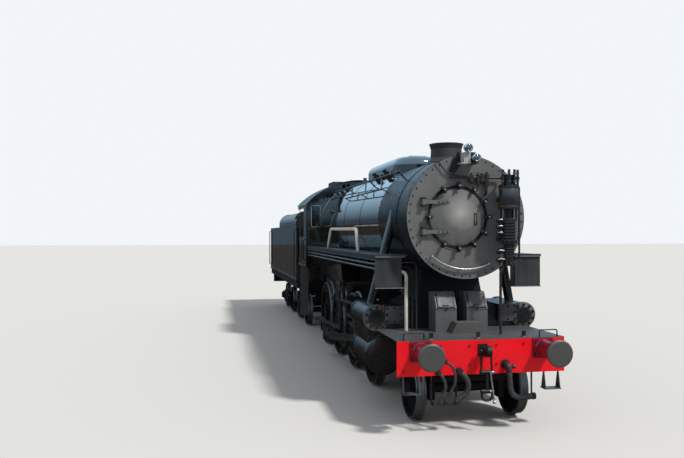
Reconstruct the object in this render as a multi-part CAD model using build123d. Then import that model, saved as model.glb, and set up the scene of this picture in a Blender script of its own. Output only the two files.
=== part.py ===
from build123d import *
import math
import os

os.makedirs("parts", exist_ok=True)

# A 2-8-0 tender steam locomotive at full size, in millimetres.
# X is across, Z is up, and every Y below is a distance behind the faces of the front buffers.
# save() moves each piece so that the whole engine and tender stand centred on the origin,
# on the bottoms of their wheel flanges.

# Wheels and axles
flange_height = 28.0
back_to_back = 1360.0
tyre_width = 138.0
flange_width = 32.0
driver_tread_d = 1448.0
carrying_tread_d = 838.0
driver_axle_r = 105.0
carrying_axle_r = 75.0
tyre_depth = 75.0
rim_depth = 55.0
spoke_count = 15
crank_radius = 330.0
crank_pin_r = 60.0
main_rod_length = 3330.0
left_crank_deg = -90.0
right_crank_deg = 0.0
running_gap = 3.0
pin_gap = 1.0

# Places along the engine
buffer_length = 500.0
pony_axle_y = 1240.0
pony_to_driver = 2370.0
driver_pitch = 1575.0
driver_to_tender = 3455.0
bogie_wheelbase = 1727.0
bogie_pitch = 3473.0
rear_overhang = 1603.0
pony_pivot_reach = 1480.0
pony_eye_z = 577.0
pony_pin_r = 45.0
pony_pad_height = 448.0
brake_gap = 14.0
brake_shaft_r = 28.0
king_pin_r = 40.0
draw_pin_r = 40.0
draw_z = 1010.0
draw_height = 60.0
draw_pin_y = 9800.0

# Front beam, deck and buffers
beam_half_width = 1182.0
beam_bottom_z = 762.0
beam_top_z = 1222.0
beam_thickness = 32.0
deck_thickness = 10.0
buffer_half_spacing = 863.5
buffer_z = 1083.0
buffer_head_r = 178.0
housing_r = 118.0
plunger_r = 70.0
base_half_width = 145.0
buffer_head_thickness = 32.0
box_xs = (-255.0, 215.0)
box_half_width = 158.0
box_front_y = 1230.0
box_depth = 330.0
box_height = 560.0
box_slope_run = 130.0
box_slope_rise = 230.0
box_wall = 6.0
lid_pin_r = 7.0
cover_height = 152.0
cover_front_y = 1010.0
step_z = 530.0

# Frame
frame_outer_x = 640.0
frame_thickness = 110.0
frame_top_z = 1130.0
frame_front_bottom_z = 935.0
frame_bottom_z = 560.0
frame_rail = 115.0
binder_height = 40.0

# Cylinders
cylinder_x = 1045.0
cylinder_z = 830.0
cylinder_r = 280.0
cylinder_cover_r = 293.0
cylinder_length = 900.0
valve_x = 1160.0
valve_z = 1390.0
valve_r = 184.0
valve_overhang = 20.0
cover_thickness = 45.0
cover_boss = 18.0
gland_length = 40.0
piston_rod_r = 42.0
fit_gap = 3.0
crosshead_reach = 410.0
wrist_pin_r = 40.0
guide_run = 390.0
guide_bottom = 165.0
guide_height = 62.0
guide_half_width = 60.0
slipper_height = 90.0
crosshead_half_width = 85.0
rod_clearance = 179.0
link_offset = 550.0
link_z = 1330.0
link_foot_z = 860.0
eccentric_r = 150.0
union_z = 570.0
reverse_shaft_r = 38.0
reverse_shaft_z = 1700.0
reverse_arm = 300.0
steam_pipe_r = 70.0

# Smokebox, boiler and firebox
boiler_z = 2872.0
smokebox_r = 877.0
smokebox_wall = 16.0
smokebox_front_y = 1100.0
smokebox_length = 1700.0
front_plate = 20.0
boiler_r = 862.0
firebox_r = 918.0
barrel_length = 3500.0
firebox_length = 2330.0
firebox_half_width = 800.0
firebox_bottom_z = 1600.0
backhead_length = 260.0
band_count = 2
band_pitch = 1400.0
band_half_width = 22.0
band_thickness = 5.0

# Smokebox door
door_x = -140.0
door_r = 400.0
door_dish = 62.0
door_thickness = 14.0
door_lap = 14.0
seat_ring_r = 462.0
seat_ring_thickness = 14.0
door_hinge_x = -650.0
door_hinge_gap = 420.0
door_gap = 2.0
hinge_pin_r = 12.0
clamp_count = 12
clamp_gap = 6.0

# Chimney and dome casing
chimney_y = 1960.0
chimney_height = 266.0
chimney_r = 232.0
chimney_rim_r = 262.0
chimney_rim_height = 16.0
chimney_flare_height = 80.0
chimney_bore_r = 205.0
casing_front_y = 3150.0
casing_length = 2660.0
casing_half_width = 430.0
casing_top_z = 3975.0
casing_shoulder_r = 150.0
casing_end_r = 400.0
sand_lid_length = 550.0
sand_lid_half_width = 150.0
sand_lid_height = 24.0

# Air pump and lamps
pump_x = 535.0
pump_y = 860.0
pump_top_z = 3520.0
pump_steam_r = 135.0
pump_air_r = 118.0
lamp_y = 860.0

# Rails, pipes and hoses
rail_deg = 46.0
conduit_deg = 30.0
rail_r = 1010.0
rail_rod_r = 17.0
rail_posts = 4
front_rail_y = 1050.0
hoop_y = 520.0
hose_y = 400.0
left_pipe_y = 1425.0

# Running boards
board_half_width = 1270.0
board_front_y = 1400.0
board_top_z = 2332.0
board_plate = 12.0
valance_height = 42.0
cooling_pipe_r = 20.0
cooling_pipe_drop = 66.0
front_plate_height = 470.0
front_plate_width = 400.0
front_plate_lip = 45.0

# Cab
cab_half_width = 1290.0
cab_lap = 180.0
cab_length = 1500.0
cab_plate = 8.0
cab_floor_z = 1900.0
cab_bottom_z = 1830.0
fall_plate_thickness = 10.0
step_zs = (560.0, 960.0, 1360.0)
eave_z = 3350.0
roof_rise = 580.0
roof_overhang = 260.0
roof_lap = 20.0
roof_thickness = 10.0
sill_z = 2560.0
front_pane = (952.0, 1156.0)
pane_z = (2810.0, 3305.0)

# Tender
tender_front_y = 10290.0
tender_half_width = 1300.0
tank_bottom_z = 1376.0
tank_top_z = 3260.0
tender_deck_z = 1364.0
tender_floor_z = 1880.0
sill_depth = 290.0
bunker_length = 4300.0
footplate_length = 560.0
tank_shoulder_r = 320.0
tank_step = 420.0
hatch_y = 16900.0
hatch_r = 235.0
hatch_height = 90.0
bunker_wall = 150.0
bolster_top_z = 900.0

pony_pivot_y = pony_axle_y + pony_pivot_reach
driver_r = driver_tread_d / 2
carrying_r = carrying_tread_d / 2
driver_axle_z = driver_r + flange_height
carrying_axle_z = carrying_r + flange_height
driver_ys = [pony_axle_y + pony_to_driver + i * driver_pitch for i in range(4)]
main_driver_y = driver_ys[2]
tender_axle_ys = [driver_ys[3] + driver_to_tender + a * bogie_pitch + b * bogie_wheelbase
                  for a in range(2) for b in range(2)]
bogie_ys = [sum(tender_axle_ys[:2]) / 2, sum(tender_axle_ys[2:]) / 2]
length = tender_axle_ys[3] + rear_overhang
half_length = length / 2
beam_front_y = buffer_length
beam_back_y = beam_front_y + beam_thickness
rear_beam_y = length - buffer_length
wheel_inner_x = back_to_back / 2
wheel_outer_x = wheel_inner_x + tyre_width
frame_inner_x = frame_outer_x - frame_thickness
cylinder_back_y = main_driver_y - crank_radius - main_rod_length - crosshead_reach
cylinder_front_y = cylinder_back_y - cylinder_length
rod_reach = crosshead_reach + cylinder_length - rod_clearance
guide_back_y = main_driver_y + crank_radius - main_rod_length + guide_run
link_y = guide_back_y + link_offset
combination_y = cylinder_back_y + 460.0
chimney_top_z = boiler_z + smokebox_r + chimney_height
roof_top_z = eave_z + roof_rise
smokebox_back_y = smokebox_front_y + smokebox_length
firebox_front_y = smokebox_back_y + barrel_length
firebox_back_y = firebox_front_y + firebox_length
deck_z = beam_top_z + deck_thickness
cab_front_y = firebox_back_y - cab_lap
cab_back_y = cab_front_y + cab_length
roof_half_width = cab_half_width + roof_lap
slope_length = math.hypot(box_slope_run, box_slope_rise)
slope_deg = math.degrees(math.atan2(box_slope_rise, box_slope_run))
steam_pipe_path = [(800, chimney_y + 60, boiler_z + 120),
                   (valve_x - 20, chimney_y + 240, valve_z + valve_r - 40)]
sides = [("left", -1, left_crank_deg), ("right", 1, right_crank_deg)]
board_inner_x = math.sqrt((firebox_r + 12) ** 2 - (boiler_z - board_top_z) ** 2) + 10

# Planes of the rods, from the wheel outwards
boss_outer_x = wheel_outer_x + 30.0
rod_thickness = 70.0
rod_gap = 8.0
coupling_rod_x = (boss_outer_x + rod_gap, boss_outer_x + rod_gap + rod_thickness)
pin_end_x = coupling_rod_x[1] + 14.0
main_rod_thickness = 90.0
main_rod_x = (cylinder_x - main_rod_thickness / 2, cylinder_x + main_rod_thickness / 2)
return_crank_x = (main_rod_x[1] + 8.0, main_rod_x[1] + 50.0)
gear_thickness = 38.0
gear_x = (return_crank_x[1] + 6.0, return_crank_x[1] + 6.0 + gear_thickness)


def block(x, y, z):
    """A box between two values on each axis."""
    middle = Pos((x[0] + x[1]) / 2, (y[0] + y[1]) / 2, (z[0] + z[1]) / 2)
    return middle * Box(x[1] - x[0], y[1] - y[0], z[1] - z[0])


def bar_x(r, x, y, z):
    return Pos((x[0] + x[1]) / 2, y, z) * Rot(0, 90, 0) * Cylinder(r, x[1] - x[0])


def bar_y(r, x, y, z):
    return Pos(x, (y[0] + y[1]) / 2, z) * Rot(90, 0, 0) * Cylinder(r, y[1] - y[0])


def bar_z(r, x, y, z):
    return Pos(x, y, (z[0] + z[1]) / 2) * Cylinder(r, z[1] - z[0])


def from_side(sketch, x):
    """A sketch drawn in Y and Z, made as thick as the two values of X."""
    return extrude(Plane.YZ.offset(x[0]) * sketch, x[1] - x[0])


def from_front(sketch, y):
    """A sketch drawn in X and Z, made as deep as the two values of Y."""
    return extrude(Plane.XZ.offset(-y[0]) * sketch, -(y[1] - y[0]))


def outline(*points):
    return make_face(Polyline(*points, close=True))


def rectangle(u, v):
    return Pos((u[0] + u[1]) / 2, (v[0] + v[1]) / 2) * Rectangle(u[1] - u[0], v[1] - v[0])


def window(u, v, corner):
    return Pos((u[0] + u[1]) / 2, (v[0] + v[1]) / 2) * RectangleRounded(u[1] - u[0], v[1] - v[0], corner)


def disc(u, v, r):
    return Pos(u, v) * Circle(r)


def mirrored(shape):
    return mirror(shape, Plane.YZ)


def turned_y(points, x, y, z, way=1):
    """A profile of radius and distance, turned round a line along the engine at x and z."""
    profile = make_face(Polyline(*[(r, way * d) for r, d in points], close=True))
    return Pos(x, y, z) * revolve(profile, Axis.Y)


def both(shape):
    """The shape and its mirror image on the other side of the engine."""
    return shape + mirrored(shape)


def tube(points, r, bend):
    """A round pipe along straight runs joined by bends."""
    path = FilletPolyline(*points, radius=bend) if len(points) > 2 else Line(*points)
    return sweep(Plane(path @ 0, z_dir=path % 0) * Circle(r), path=path)


def hose(points, r):
    """A hose along straight runs, with each bend as large as its two runs allow."""
    runs = [Vector(*b) - Vector(*a) for a, b in zip(points, points[1:])]
    radii = []
    for one, two in zip(runs, runs[1:]):
        half_turn = math.radians(one.get_angle(two)) / 2
        radii.append(0.45 * min(one.length, two.length) / math.tan(half_turn))
    path = FilletPolyline(*points, radius=radii)
    return sweep(Plane(path @ 0, z_dir=path % 0) * Circle(r), path=path)


def stretcher(points, width):
    """A flat bar of one width between two points of a sketch."""
    (u0, v0), (u1, v1) = points
    length_, angle = math.hypot(u1 - u0, v1 - v0), math.degrees(math.atan2(v1 - v0, u1 - u0))
    return Pos((u0 + u1) / 2, (v0 + v1) / 2) * Rot(0, 0, angle) * Rectangle(length_, width)


def lever(points, widths, eye_rs, hole_rs):
    """A rod's side view: an eye at each end, a tapered web between them and a hole in each eye."""
    (u0, v0), (u1, v1) = points
    length_ = math.hypot(u1 - u0, v1 - v0)
    angle = math.degrees(math.atan2(v1 - v0, u1 - u0))
    w0, w1 = widths
    web = outline((0, -w0 / 2), (length_, -w1 / 2), (length_, w1 / 2), (0, w0 / 2))
    shape = web + Circle(eye_rs[0]) + disc(length_, 0, eye_rs[1])
    for u, hole in zip((0, length_), hole_rs):
        if hole:
            shape -= disc(u, 0, hole)
    return Pos(u0, v0) * Rot(0, 0, angle) * shape


def save(name, shape):
    """Writes one piece, standing centred on the origin along the engine."""
    export_step(Pos(0, -half_length, 0) * shape, f"parts/{name}.step")


def at_crank(y, degrees, radius=crank_radius):
    """The point in Y and Z of a crank pin on the axle at y."""
    angle = math.radians(degrees)
    return y + radius * math.cos(angle), driver_axle_z + radius * math.sin(angle)


# Wheelsets
def tyre_profile(tread_r, inner_r):
    """Half section of a tyre and rim in X and radius, with its flange on the inner side."""
    x0, x1, flange_x = wheel_inner_x, wheel_outer_x, wheel_inner_x + flange_width
    return Polyline((x0, inner_r), (x0, tread_r + flange_height - 8), (x0 + 8, tread_r + flange_height),
                    (flange_x - 10, tread_r + flange_height),
                    (flange_x, tread_r + 6), (flange_x + 8, tread_r),
                    (x1 - 8, tread_r - 4), (x1, tread_r - 10), (x1, inner_r), close=True)


def turned(profile, y, z):
    """A closed profile in X and radius, turned round the axle at y and z."""
    face = make_face(profile)
    return Pos(0, y, z) * revolve(face, Axis.X)


def carrying_wheelset(y):
    """Two plate wheels on an axle whose ends are the journals."""
    z, inner_r = carrying_axle_z, carrying_r - tyre_depth
    rim = turned(tyre_profile(carrying_r, inner_r), y, z)
    web_x = (wheel_inner_x + 45, wheel_inner_x + 75)
    web = bar_x(inner_r + 1, web_x, y, z)
    hub = bar_x(125, (wheel_inner_x - 5, wheel_outer_x + 8), y, z)
    return both(rim + web + hub)


def driving_wheel(y, degrees, side):
    """One spoked driving wheel with its crank boss and balance weight, on the left (-1) or right (1)."""
    z, rim_r = driver_axle_z, driver_r - tyre_depth - rim_depth
    tyre = turned(tyre_profile(driver_r, rim_r), y, z)
    hub_x, web_x = (wheel_inner_x - 10, boss_outer_x - 8), (wheel_inner_x + 35, wheel_outer_x - 30)
    pin_y, pin_z = at_crank(y, degrees)
    hub_r, boss_r = 190.0, 150.0
    spokes = Sketch()
    for i in range(spoke_count):
        arm = outline((hub_r - 30, -42), (rim_r + 12, -27), (rim_r + 12, 27), (hub_r - 30, 42))
        spokes += Rot(0, 0, degrees + (i + 0.5) * 360 / spoke_count) * arm
    spokes = Pos(y, z) * spokes
    hub = disc(y, z, hub_r) + disc(pin_y, pin_z, boss_r)
    hub += stretcher(((y, z), (pin_y, pin_z)), 2 * boss_r)
    weight_depth = 0.62 if y == main_driver_y else 0.8
    weight = Circle(rim_r + 6) & rectangle((-rim_r - 10, -rim_r * weight_depth), (-rim_r, rim_r))
    weight = Pos(y, z) * Rot(0, 0, degrees) * weight
    wheel = tyre + from_side(spokes, web_x) + from_side(hub, hub_x)
    wheel += from_side(weight, (web_x[0], wheel_outer_x - 12))
    wheel += from_side(disc(pin_y, pin_z, boss_r), (hub_x[0] + 40, boss_outer_x))
    wheel += bar_x(crank_pin_r, (boss_outer_x - 20, coupling_rod_x[1] + 4), pin_y, pin_z)
    wheel += bar_x(crank_pin_r + 22, (coupling_rod_x[1] + 4, pin_end_x), pin_y, pin_z)
    return mirrored(wheel) if side < 0 else wheel


def driving_wheelset(y):
    axle = bar_x(driver_axle_r, (-wheel_outer_x, wheel_outer_x), y, driver_axle_z)
    return axle + driving_wheel(y, left_crank_deg, -1) + driving_wheel(y, right_crank_deg, 1)


def on_side(shape, side):
    """Moves a piece built on the right, at positive X, to its own side."""
    return mirrored(shape) if side < 0 else shape


def coupling_rod(degrees):
    """The rod that joins the four crank pins of one side, fluted along each span."""
    pins = [at_crank(y, degrees) for y in driver_ys]
    shape = rectangle((pins[0][0], pins[3][0]), (pins[0][1] - 62, pins[0][1] + 62))
    for u, v in pins:
        shape += disc(u, v, 118)
        shape += rectangle((u - 40, u + 40), (v, v + 150))
    for u, v in pins:
        shape -= disc(u, v, crank_pin_r + pin_gap)
    rod = from_side(shape, coupling_rod_x)
    for (u0, v), (u1, _) in zip(pins, pins[1:]):
        rod -= from_side(window((u0 + 190, u1 - 190), (v - 34, v + 34), 30),
                         (coupling_rod_x[1] - 16, coupling_rod_x[1] + 1))
    return rod


def wrist_point(degrees):
    """Where the crosshead stands when the crank is at this angle."""
    pin_y, pin_z = at_crank(main_driver_y, degrees)
    return pin_y - math.sqrt(main_rod_length ** 2 - (pin_z - cylinder_z) ** 2), cylinder_z


def main_rod(degrees):
    """The connecting rod with its strapped big end, and the end of the crank pin that it holds."""
    small, big = wrist_point(degrees), at_crank(main_driver_y, degrees)
    shape = lever((small, big), (110, 160), (95, 150), (wrist_pin_r + pin_gap, 0))
    rod = from_side(shape, main_rod_x)
    angle = math.degrees(math.atan2(big[1] - small[1], big[0] - small[0]))
    strap = Rot(0, 0, angle) * (rectangle((-230, 175), (-155, 155)))
    rod += from_side(Pos(*big) * strap, (main_rod_x[0] + 12, main_rod_x[1] - 12))
    flute = Pos(*small) * Rot(0, 0, angle) * window((260, main_rod_length - 420), (-32, 32), 28)
    rod -= from_side(flute, (main_rod_x[1] - 22, main_rod_x[1] + 1))
    rod += bar_x(crank_pin_r + 6, (pin_end_x + 6, main_rod_x[1] + 2), *big)
    return rod


def crosshead(degrees):
    """The crosshead with its slipper between the two guides above it, its piston rod and wrist pin."""
    y, z = wrist_point(degrees)
    low = z + guide_bottom + guide_height
    w = crosshead_half_width
    side = outline((y - 190, z - 70), (y - 110, z - 105), (y + 90, z - 105),
                   (y + 150, z - 40), (y + 150, z + 60),
                   (y + 90, z + 105), (y + 150, low + slipper_height - fit_gap),
                   (y - 170, low + slipper_height - fit_gap),
                   (y - 110, z + 105), (y - 190, z + 70))
    body = from_side(side, (cylinder_x - w, cylinder_x + w))
    body += block((cylinder_x - w, cylinder_x + w), (y - 205, y + 205),
                  (low + fit_gap, low + slipper_height - fit_gap))
    for x in ((cylinder_x - guide_half_width - fit_gap, cylinder_x + guide_half_width + fit_gap),):
        body -= block(x, (y - 400, y + 400), (z + guide_bottom - fit_gap, low + fit_gap))
    body -= block((main_rod_x[0] - 4, main_rod_x[1] + 4), (y - 102, y + 400), (z - 112, z + 112))
    body += bar_x(wrist_pin_r, (cylinder_x - w - 5, cylinder_x + w + 5), y, z)
    body += bar_y(piston_rod_r + 28, cylinder_x, (y - 280, y - 180), z)
    body += bar_y(piston_rod_r, cylinder_x, (y - rod_reach, y - 270), z)
    body += from_side(lever(((y - 40, z - 90), (y - 40, union_z)), (110, 70), (50, 36), (0, 0)),
                      (cylinder_x + w - 28, cylinder_x + w))
    return body


def guides():
    """The two slide bars of one side, both above the piston rod, from the back cover to the yoke."""
    start = cylinder_back_y + cover_thickness + cover_boss
    clear = start + valve_overhang + 6
    low = cylinder_z + guide_bottom
    bars = block((cylinder_x - guide_half_width, cylinder_x + guide_half_width), (start, guide_back_y),
                 (low, low + guide_height))
    low += guide_height + slipper_height
    bars += block((cylinder_x - crosshead_half_width, cylinder_x + crosshead_half_width),
                  (clear, guide_back_y),
                  (low, low + guide_height))
    bars += block((cylinder_x - crosshead_half_width, cylinder_x + crosshead_half_width), (clear, clear + 50),
                  (cylinder_z + guide_bottom, low))
    return bars


def guide_yoke():
    """The plate across the engine that holds the back ends of the slide bars, and the bearer of the link."""
    low = cylinder_z + guide_bottom
    flange_r = driver_r + flange_height
    over_wheel = driver_axle_z + math.sqrt(flange_r ** 2 - (guide_back_y - driver_ys[0]) ** 2) + 25
    end_x = cylinder_x + crosshead_half_width
    y0, y1 = guide_back_y, guide_back_y + 28
    plate = outline((frame_inner_x, frame_top_z), (frame_outer_x, frame_top_z), (frame_outer_x, over_wheel),
                    (coupling_rod_x[1] + 25, over_wheel), (coupling_rod_x[1] + 45, low), (end_x, low),
                    (end_x, link_z + 190), (frame_outer_x, link_z + 110), (frame_inner_x, link_z + 60))
    yoke = from_front(plate, (y0, y1))
    yoke += block((end_x - 70, end_x), (y1, link_y + 60), (link_z - 45, link_z + 45))
    yoke += block((end_x - 70, end_x), (y1, y1 + 160), (link_z - 200, link_z + 160))
    arm = stretcher(((link_y - 60, link_z), (link_y - 60, reverse_shaft_z)), 110)
    arm += disc(link_y - 60, reverse_shaft_z, 75) - disc(link_y - 60, reverse_shaft_z, reverse_shaft_r)
    arm -= disc(link_y - 60, reverse_shaft_z, reverse_shaft_r)
    yoke += from_side(arm, (end_x - 60, end_x - 20))
    return yoke


def valve_gear(degrees):
    """Return crank, eccentric rod, curved link, radius rod, combination lever and union link."""
    pin = at_crank(main_driver_y, degrees)
    ecc = at_crank(main_driver_y, degrees + 90, eccentric_r)
    foot = (link_y, link_foot_z)
    wrist = wrist_point(degrees)
    gear = from_side(lever((pin, ecc), (120, 90), (90, 62), (0, 0)), return_crank_x)
    gear += bar_x(34, (return_crank_x[0] + 5, gear_x[1] + 12), *ecc)
    gear += from_side(lever((ecc, foot), (70, 60), (62, 48), (0, 0)), gear_x)
    outer, inner = 1330.0, 1230.0
    slot = (outer + inner) / 2
    arc_centre = (link_y - slot, link_z)
    curve = disc(*arc_centre, outer) - disc(*arc_centre, inner)
    curve &= rectangle((link_y - 150, link_y + 120), (link_z - 250, link_z + 250))
    hole = disc(*arc_centre, slot + 20) - disc(*arc_centre, slot - 20)
    hole &= rectangle((link_y - 150, link_y + 120), (link_z - 190, link_z + 190))
    link = curve - hole + stretcher(((link_y, link_z - 230), foot), 80) + disc(*foot, 48)
    gear += from_side(link, gear_x)
    top = (combination_y, valve_z)
    tail_y = link_y - 60 + reverse_arm
    gear += from_side(lever(((tail_y, link_z + 60), (combination_y, valve_z + 60)),
                            (50, 50), (42, 42), (0, 0)),
                      (gear_x[0] + 6, gear_x[1] - 6))
    hanger = lever(((tail_y, reverse_shaft_z), (tail_y, link_z + 60)), (46, 46), (40, 42), (0, 0))
    arm = lever(((link_y - 60, reverse_shaft_z), (tail_y, reverse_shaft_z)), (90, 60), (70, 40), (0, 0))
    gear += from_side(hanger + arm, gear_x)
    gear += bar_x(reverse_shaft_r, (0, gear_x[0]), link_y - 60, reverse_shaft_z)
    low = (combination_y + 40, union_z)
    gear += from_side(lever(((top[0], top[1] + 70), low), (60, 52), (46, 40), (0, 0)), gear_x)
    arm = (wrist[0] - 40, union_z)
    gear += from_side(lever((low, arm), (44, 44), (36, 36), (0, 0)), gear_x)
    gear += bar_x(32, (cylinder_x + crosshead_half_width, gear_x[0]), link_y, link_z)
    valve_end = cylinder_back_y + valve_overhang + cover_thickness + cover_boss
    gear += bar_y(30, valve_x, (valve_end, combination_y), valve_z)
    gear += bar_x(26, (valve_x, gear_x[1]), combination_y, valve_z)
    return gear


# Frame and running gear carriers
def main_frame():
    """Two bar frames with their pedestals, tied by stretchers, with the front and rear extensions."""
    top, low, rail = frame_top_z, frame_bottom_z, frame_rail
    start, back = beam_back_y, driver_ys[3] + 1450.0
    shape = rectangle((start, back), (top - rail, top))
    shape += rectangle((start, cylinder_back_y + 150), (frame_front_bottom_z, top))
    shape += rectangle((cylinder_back_y + 150, driver_ys[3] + 250), (low, low + rail - 20))
    for y in driver_ys:
        shape += rectangle((y - 240, y + 240), (low, top))
    shape += outline((cylinder_back_y, frame_front_bottom_z + 5), (cylinder_back_y + 150, low),
                     (cylinder_back_y + 260, low), (cylinder_back_y + 150, frame_front_bottom_z + 5))
    shape += outline((driver_ys[3] + 240, low), (driver_ys[3] + 250, low + rail - 20),
                     (back - 40, top - 10), (back, top - rail))
    for y in driver_ys:
        shape -= window((y - driver_axle_r - running_gap, y + driver_axle_r + running_gap),
                        (low - 200, driver_axle_z + driver_axle_r + running_gap), 60)
    plate = from_side(shape, (frame_inner_x, frame_outer_x))
    for y in driver_ys:
        plate += block((frame_inner_x, frame_outer_x), (y - 200, y + 200), (low - binder_height, low))
    frame = both(plate)
    for y in (beam_back_y + 30, cylinder_back_y + 160, guide_back_y, driver_ys[1] + driver_pitch / 2,
              driver_ys[2] + driver_pitch / 2):
        frame += block((-frame_inner_x, frame_inner_x), (y, y + 40), (top - 2 * rail, top - 20))
    for y in (guide_back_y, driver_ys[1] + driver_pitch / 2 + 22, driver_ys[3] + 300):
        sheet = block((60 - frame_inner_x, frame_inner_x - 60), (y, y + 16), (top - 20, boiler_z))
        frame += sheet - boiler_shell() - ashpan()
    y = driver_ys[3] + 290
    frame += block((-frame_inner_x, frame_inner_x), (y, y + 40), (top - rail, top - 20))
    pad_z = carrying_axle_z + pony_pad_height
    frame += block((-frame_inner_x, frame_inner_x), (pony_axle_y - 140, pony_axle_y + 260),
                   (pad_z + fit_gap, frame_front_bottom_z + 60))
    frame += block((-frame_inner_x, frame_inner_x), (pony_pivot_y - 110, pony_pivot_y + 110),
                   (frame_front_bottom_z, top - rail))
    frame += bar_z(pony_pin_r, 0, pony_pivot_y, (pony_eye_z - 8, frame_front_bottom_z))
    frame += bar_z(pony_pin_r + 30, 0, pony_pivot_y, (pony_eye_z - 38, pony_eye_z - 8))
    return frame


def axle_springs():
    """Leaf springs over each driving axle box, joined to the frame by their hangers."""
    springs = Part()
    for y in driver_ys:
        for i, span in enumerate((430, 360, 290, 220, 150)):
            z = frame_top_z + 60 + 22 * i
            springs += block((frame_inner_x + 10, frame_outer_x - 10), (y - span, y + span), (z, z + 22))
        springs += block((frame_inner_x + 25, frame_outer_x - 25), (y - 60, y + 60),
                         (frame_top_z, frame_top_z + 60))
        for end in (-1, 1):
            springs += block((frame_inner_x + 30, frame_outer_x - 30),
                             (y + end * 405 - 18, y + end * 405 + 18),
                             (frame_top_z, frame_top_z + 60))
    return both(springs)


def brake_gear():
    """A hanger and block at the back of each driving wheel, hung from a shaft across the frames."""
    gear = Part()
    reach = driver_r + brake_gap
    shoe_x = (wheel_inner_x + flange_width + 14, wheel_outer_x - 6)
    shaft_z = frame_top_z + brake_shaft_r
    for y in driver_ys:
        ring = disc(y, driver_axle_z, reach + 60) - disc(y, driver_axle_z, reach)
        ring &= rectangle((y + 500, y + reach + 60), (driver_axle_z - 260, driver_axle_z + 120))
        gear += both(from_side(ring, shoe_x))
        hanger = lever(((y + reach + 34, shaft_z), (y + reach + 34, driver_axle_z - 60)),
                       (60, 44), (46, 30), (0, 0))
        gear += both(from_side(hanger, (shoe_x[0] + 20, shoe_x[1] - 20)))
        gear += bar_x(brake_shaft_r, (-shoe_x[1], shoe_x[1]), y + reach + 34, shaft_z)
    return gear


def pony_truck():
    """The leading two-wheeled truck: radius bars back to its pivot, side frames and axle boxes."""
    z, y = carrying_axle_z, pony_axle_y
    x0, x1 = 470.0, 560.0
    side = rectangle((y - 260, y + 560), (z + 120, z + 200)) + rectangle((y - 150, y + 150),
                                                                         (z - 150, z + 150))
    side -= disc(y, z, carrying_axle_r + running_gap)
    truck = both(from_side(side, (x0, x1)))
    truck += block((-x1, x1), (y - 260, y - 200), (z + 120, z + 200))
    truck += block((-x1, x1), (y + 480, y + 560), (z + 120, z + 200))
    vee = outline((-x1 + 20, y + 520), (-x1 + 110, y + 520), (0, pony_pivot_y - 40), (x1 - 110, y + 520),
                  (x1 - 20, y + 520), (90, pony_pivot_y), (-90, pony_pivot_y))
    truck += extrude(Pos(0, 0, pony_eye_z) * vee, 60)
    truck += bar_z(95, 0, pony_pivot_y, (pony_eye_z, pony_eye_z + 60))
    truck -= bar_z(pony_pin_r + running_gap, 0, pony_pivot_y, (pony_eye_z - 5, pony_eye_z + 65))
    truck += bar_z(170, 0, y + 60, (z + 190, z + pony_pad_height))
    truck += block((-x1, x1), (y - 60, y + 180), (z + 150, z + 200))
    return truck


# Cylinders
def cylinder_section():
    """The front view of one cylinder and its valve chest."""
    body = disc(cylinder_x, cylinder_z, cylinder_r) + disc(valve_x, valve_z, valve_r)
    inner = cylinder_x - cylinder_r
    body += outline((inner + 10, cylinder_z), (cylinder_x + 190, cylinder_z),
                    (valve_x + valve_r - 20, valve_z),
                    (valve_x, valve_z + valve_r - 12), (inner - 10, valve_z + valve_r - 12))
    return body


def saddle_space():
    """The room that the saddle's top takes under the smokebox."""
    return block((-460, 460), (cylinder_front_y, cylinder_back_y), (valve_z, boiler_z - smokebox_r / 2))


def cylinders():
    """Both cylinder castings with their valve chests and the saddle that the smokebox sits on."""
    y0, y1 = cylinder_front_y, cylinder_back_y
    half = from_front(cylinder_section(), (y0, y1))
    half += bar_y(valve_r, valve_x, (y0 - valve_overhang, y1 + valve_overhang), valve_z)
    covers = [(cylinder_x, cylinder_z, cylinder_cover_r, 0), (valve_x, valve_z, valve_r + 12, valve_overhang)]
    for x, z, r, over in covers:
        t, b = cover_thickness, cover_boss
        dished = [(0, -5), (r, -5), (r, t - 12), (r - 12, t), (r * 0.66, t),
                  (r * 0.62, t + b), (r * 0.46, t + b),
                  (r * 0.4, t - 14), (0, t - 14)]
        domed = [(0, -5), (r, -5), (r, t - 12), (r - 12, t), (r * 0.66, t), (r * 0.6, t + b), (0, t + b)]
        half += turned_y(dished if r < cylinder_r else domed, x, y0 - over, z, -1)
        half += turned_y(domed, x, y1 + over, z, 1)
    inner = cylinder_x - cylinder_r
    half += block((inner - 12, inner + 278), (y0 - 70, y0 + 20), (valve_z - 85, valve_z + valve_r - 12))
    gland_end = y1 + cover_thickness + cover_boss + gland_length
    half += bar_y(piston_rod_r + 45, cylinder_x, (y1, gland_end), cylinder_z)
    half -= bar_y(piston_rod_r + fit_gap, cylinder_x, (y0 + 150, gland_end + 1), cylinder_z)
    saddle_top = boiler_z - math.sqrt(smokebox_r ** 2 - 430 ** 2)
    inner = cylinder_x - cylinder_r + 20
    neck = outline((0, frame_top_z), (inner, frame_top_z), (inner, valve_z + 120), (520, valve_z + 260),
                   (430, saddle_top + 20), (0, saddle_top + 20))
    half += from_front(neck, (y0 + 10, y1 - 10))
    return both(half) - bar_y(smokebox_r, 0, (y0 - 100, y1 + 100), boiler_z)


def steam_pipes():
    """The outside steam pipes, which slant from the smokebox sides down to the valve chests."""
    pipe = tube(steam_pipe_path, steam_pipe_r, 0)
    pipe -= bar_y(smokebox_r, 0, (smokebox_front_y, smokebox_back_y), boiler_z)
    pipe -= from_front(cylinder_section(), (cylinder_front_y, cylinder_back_y))
    return both(pipe)


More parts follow.
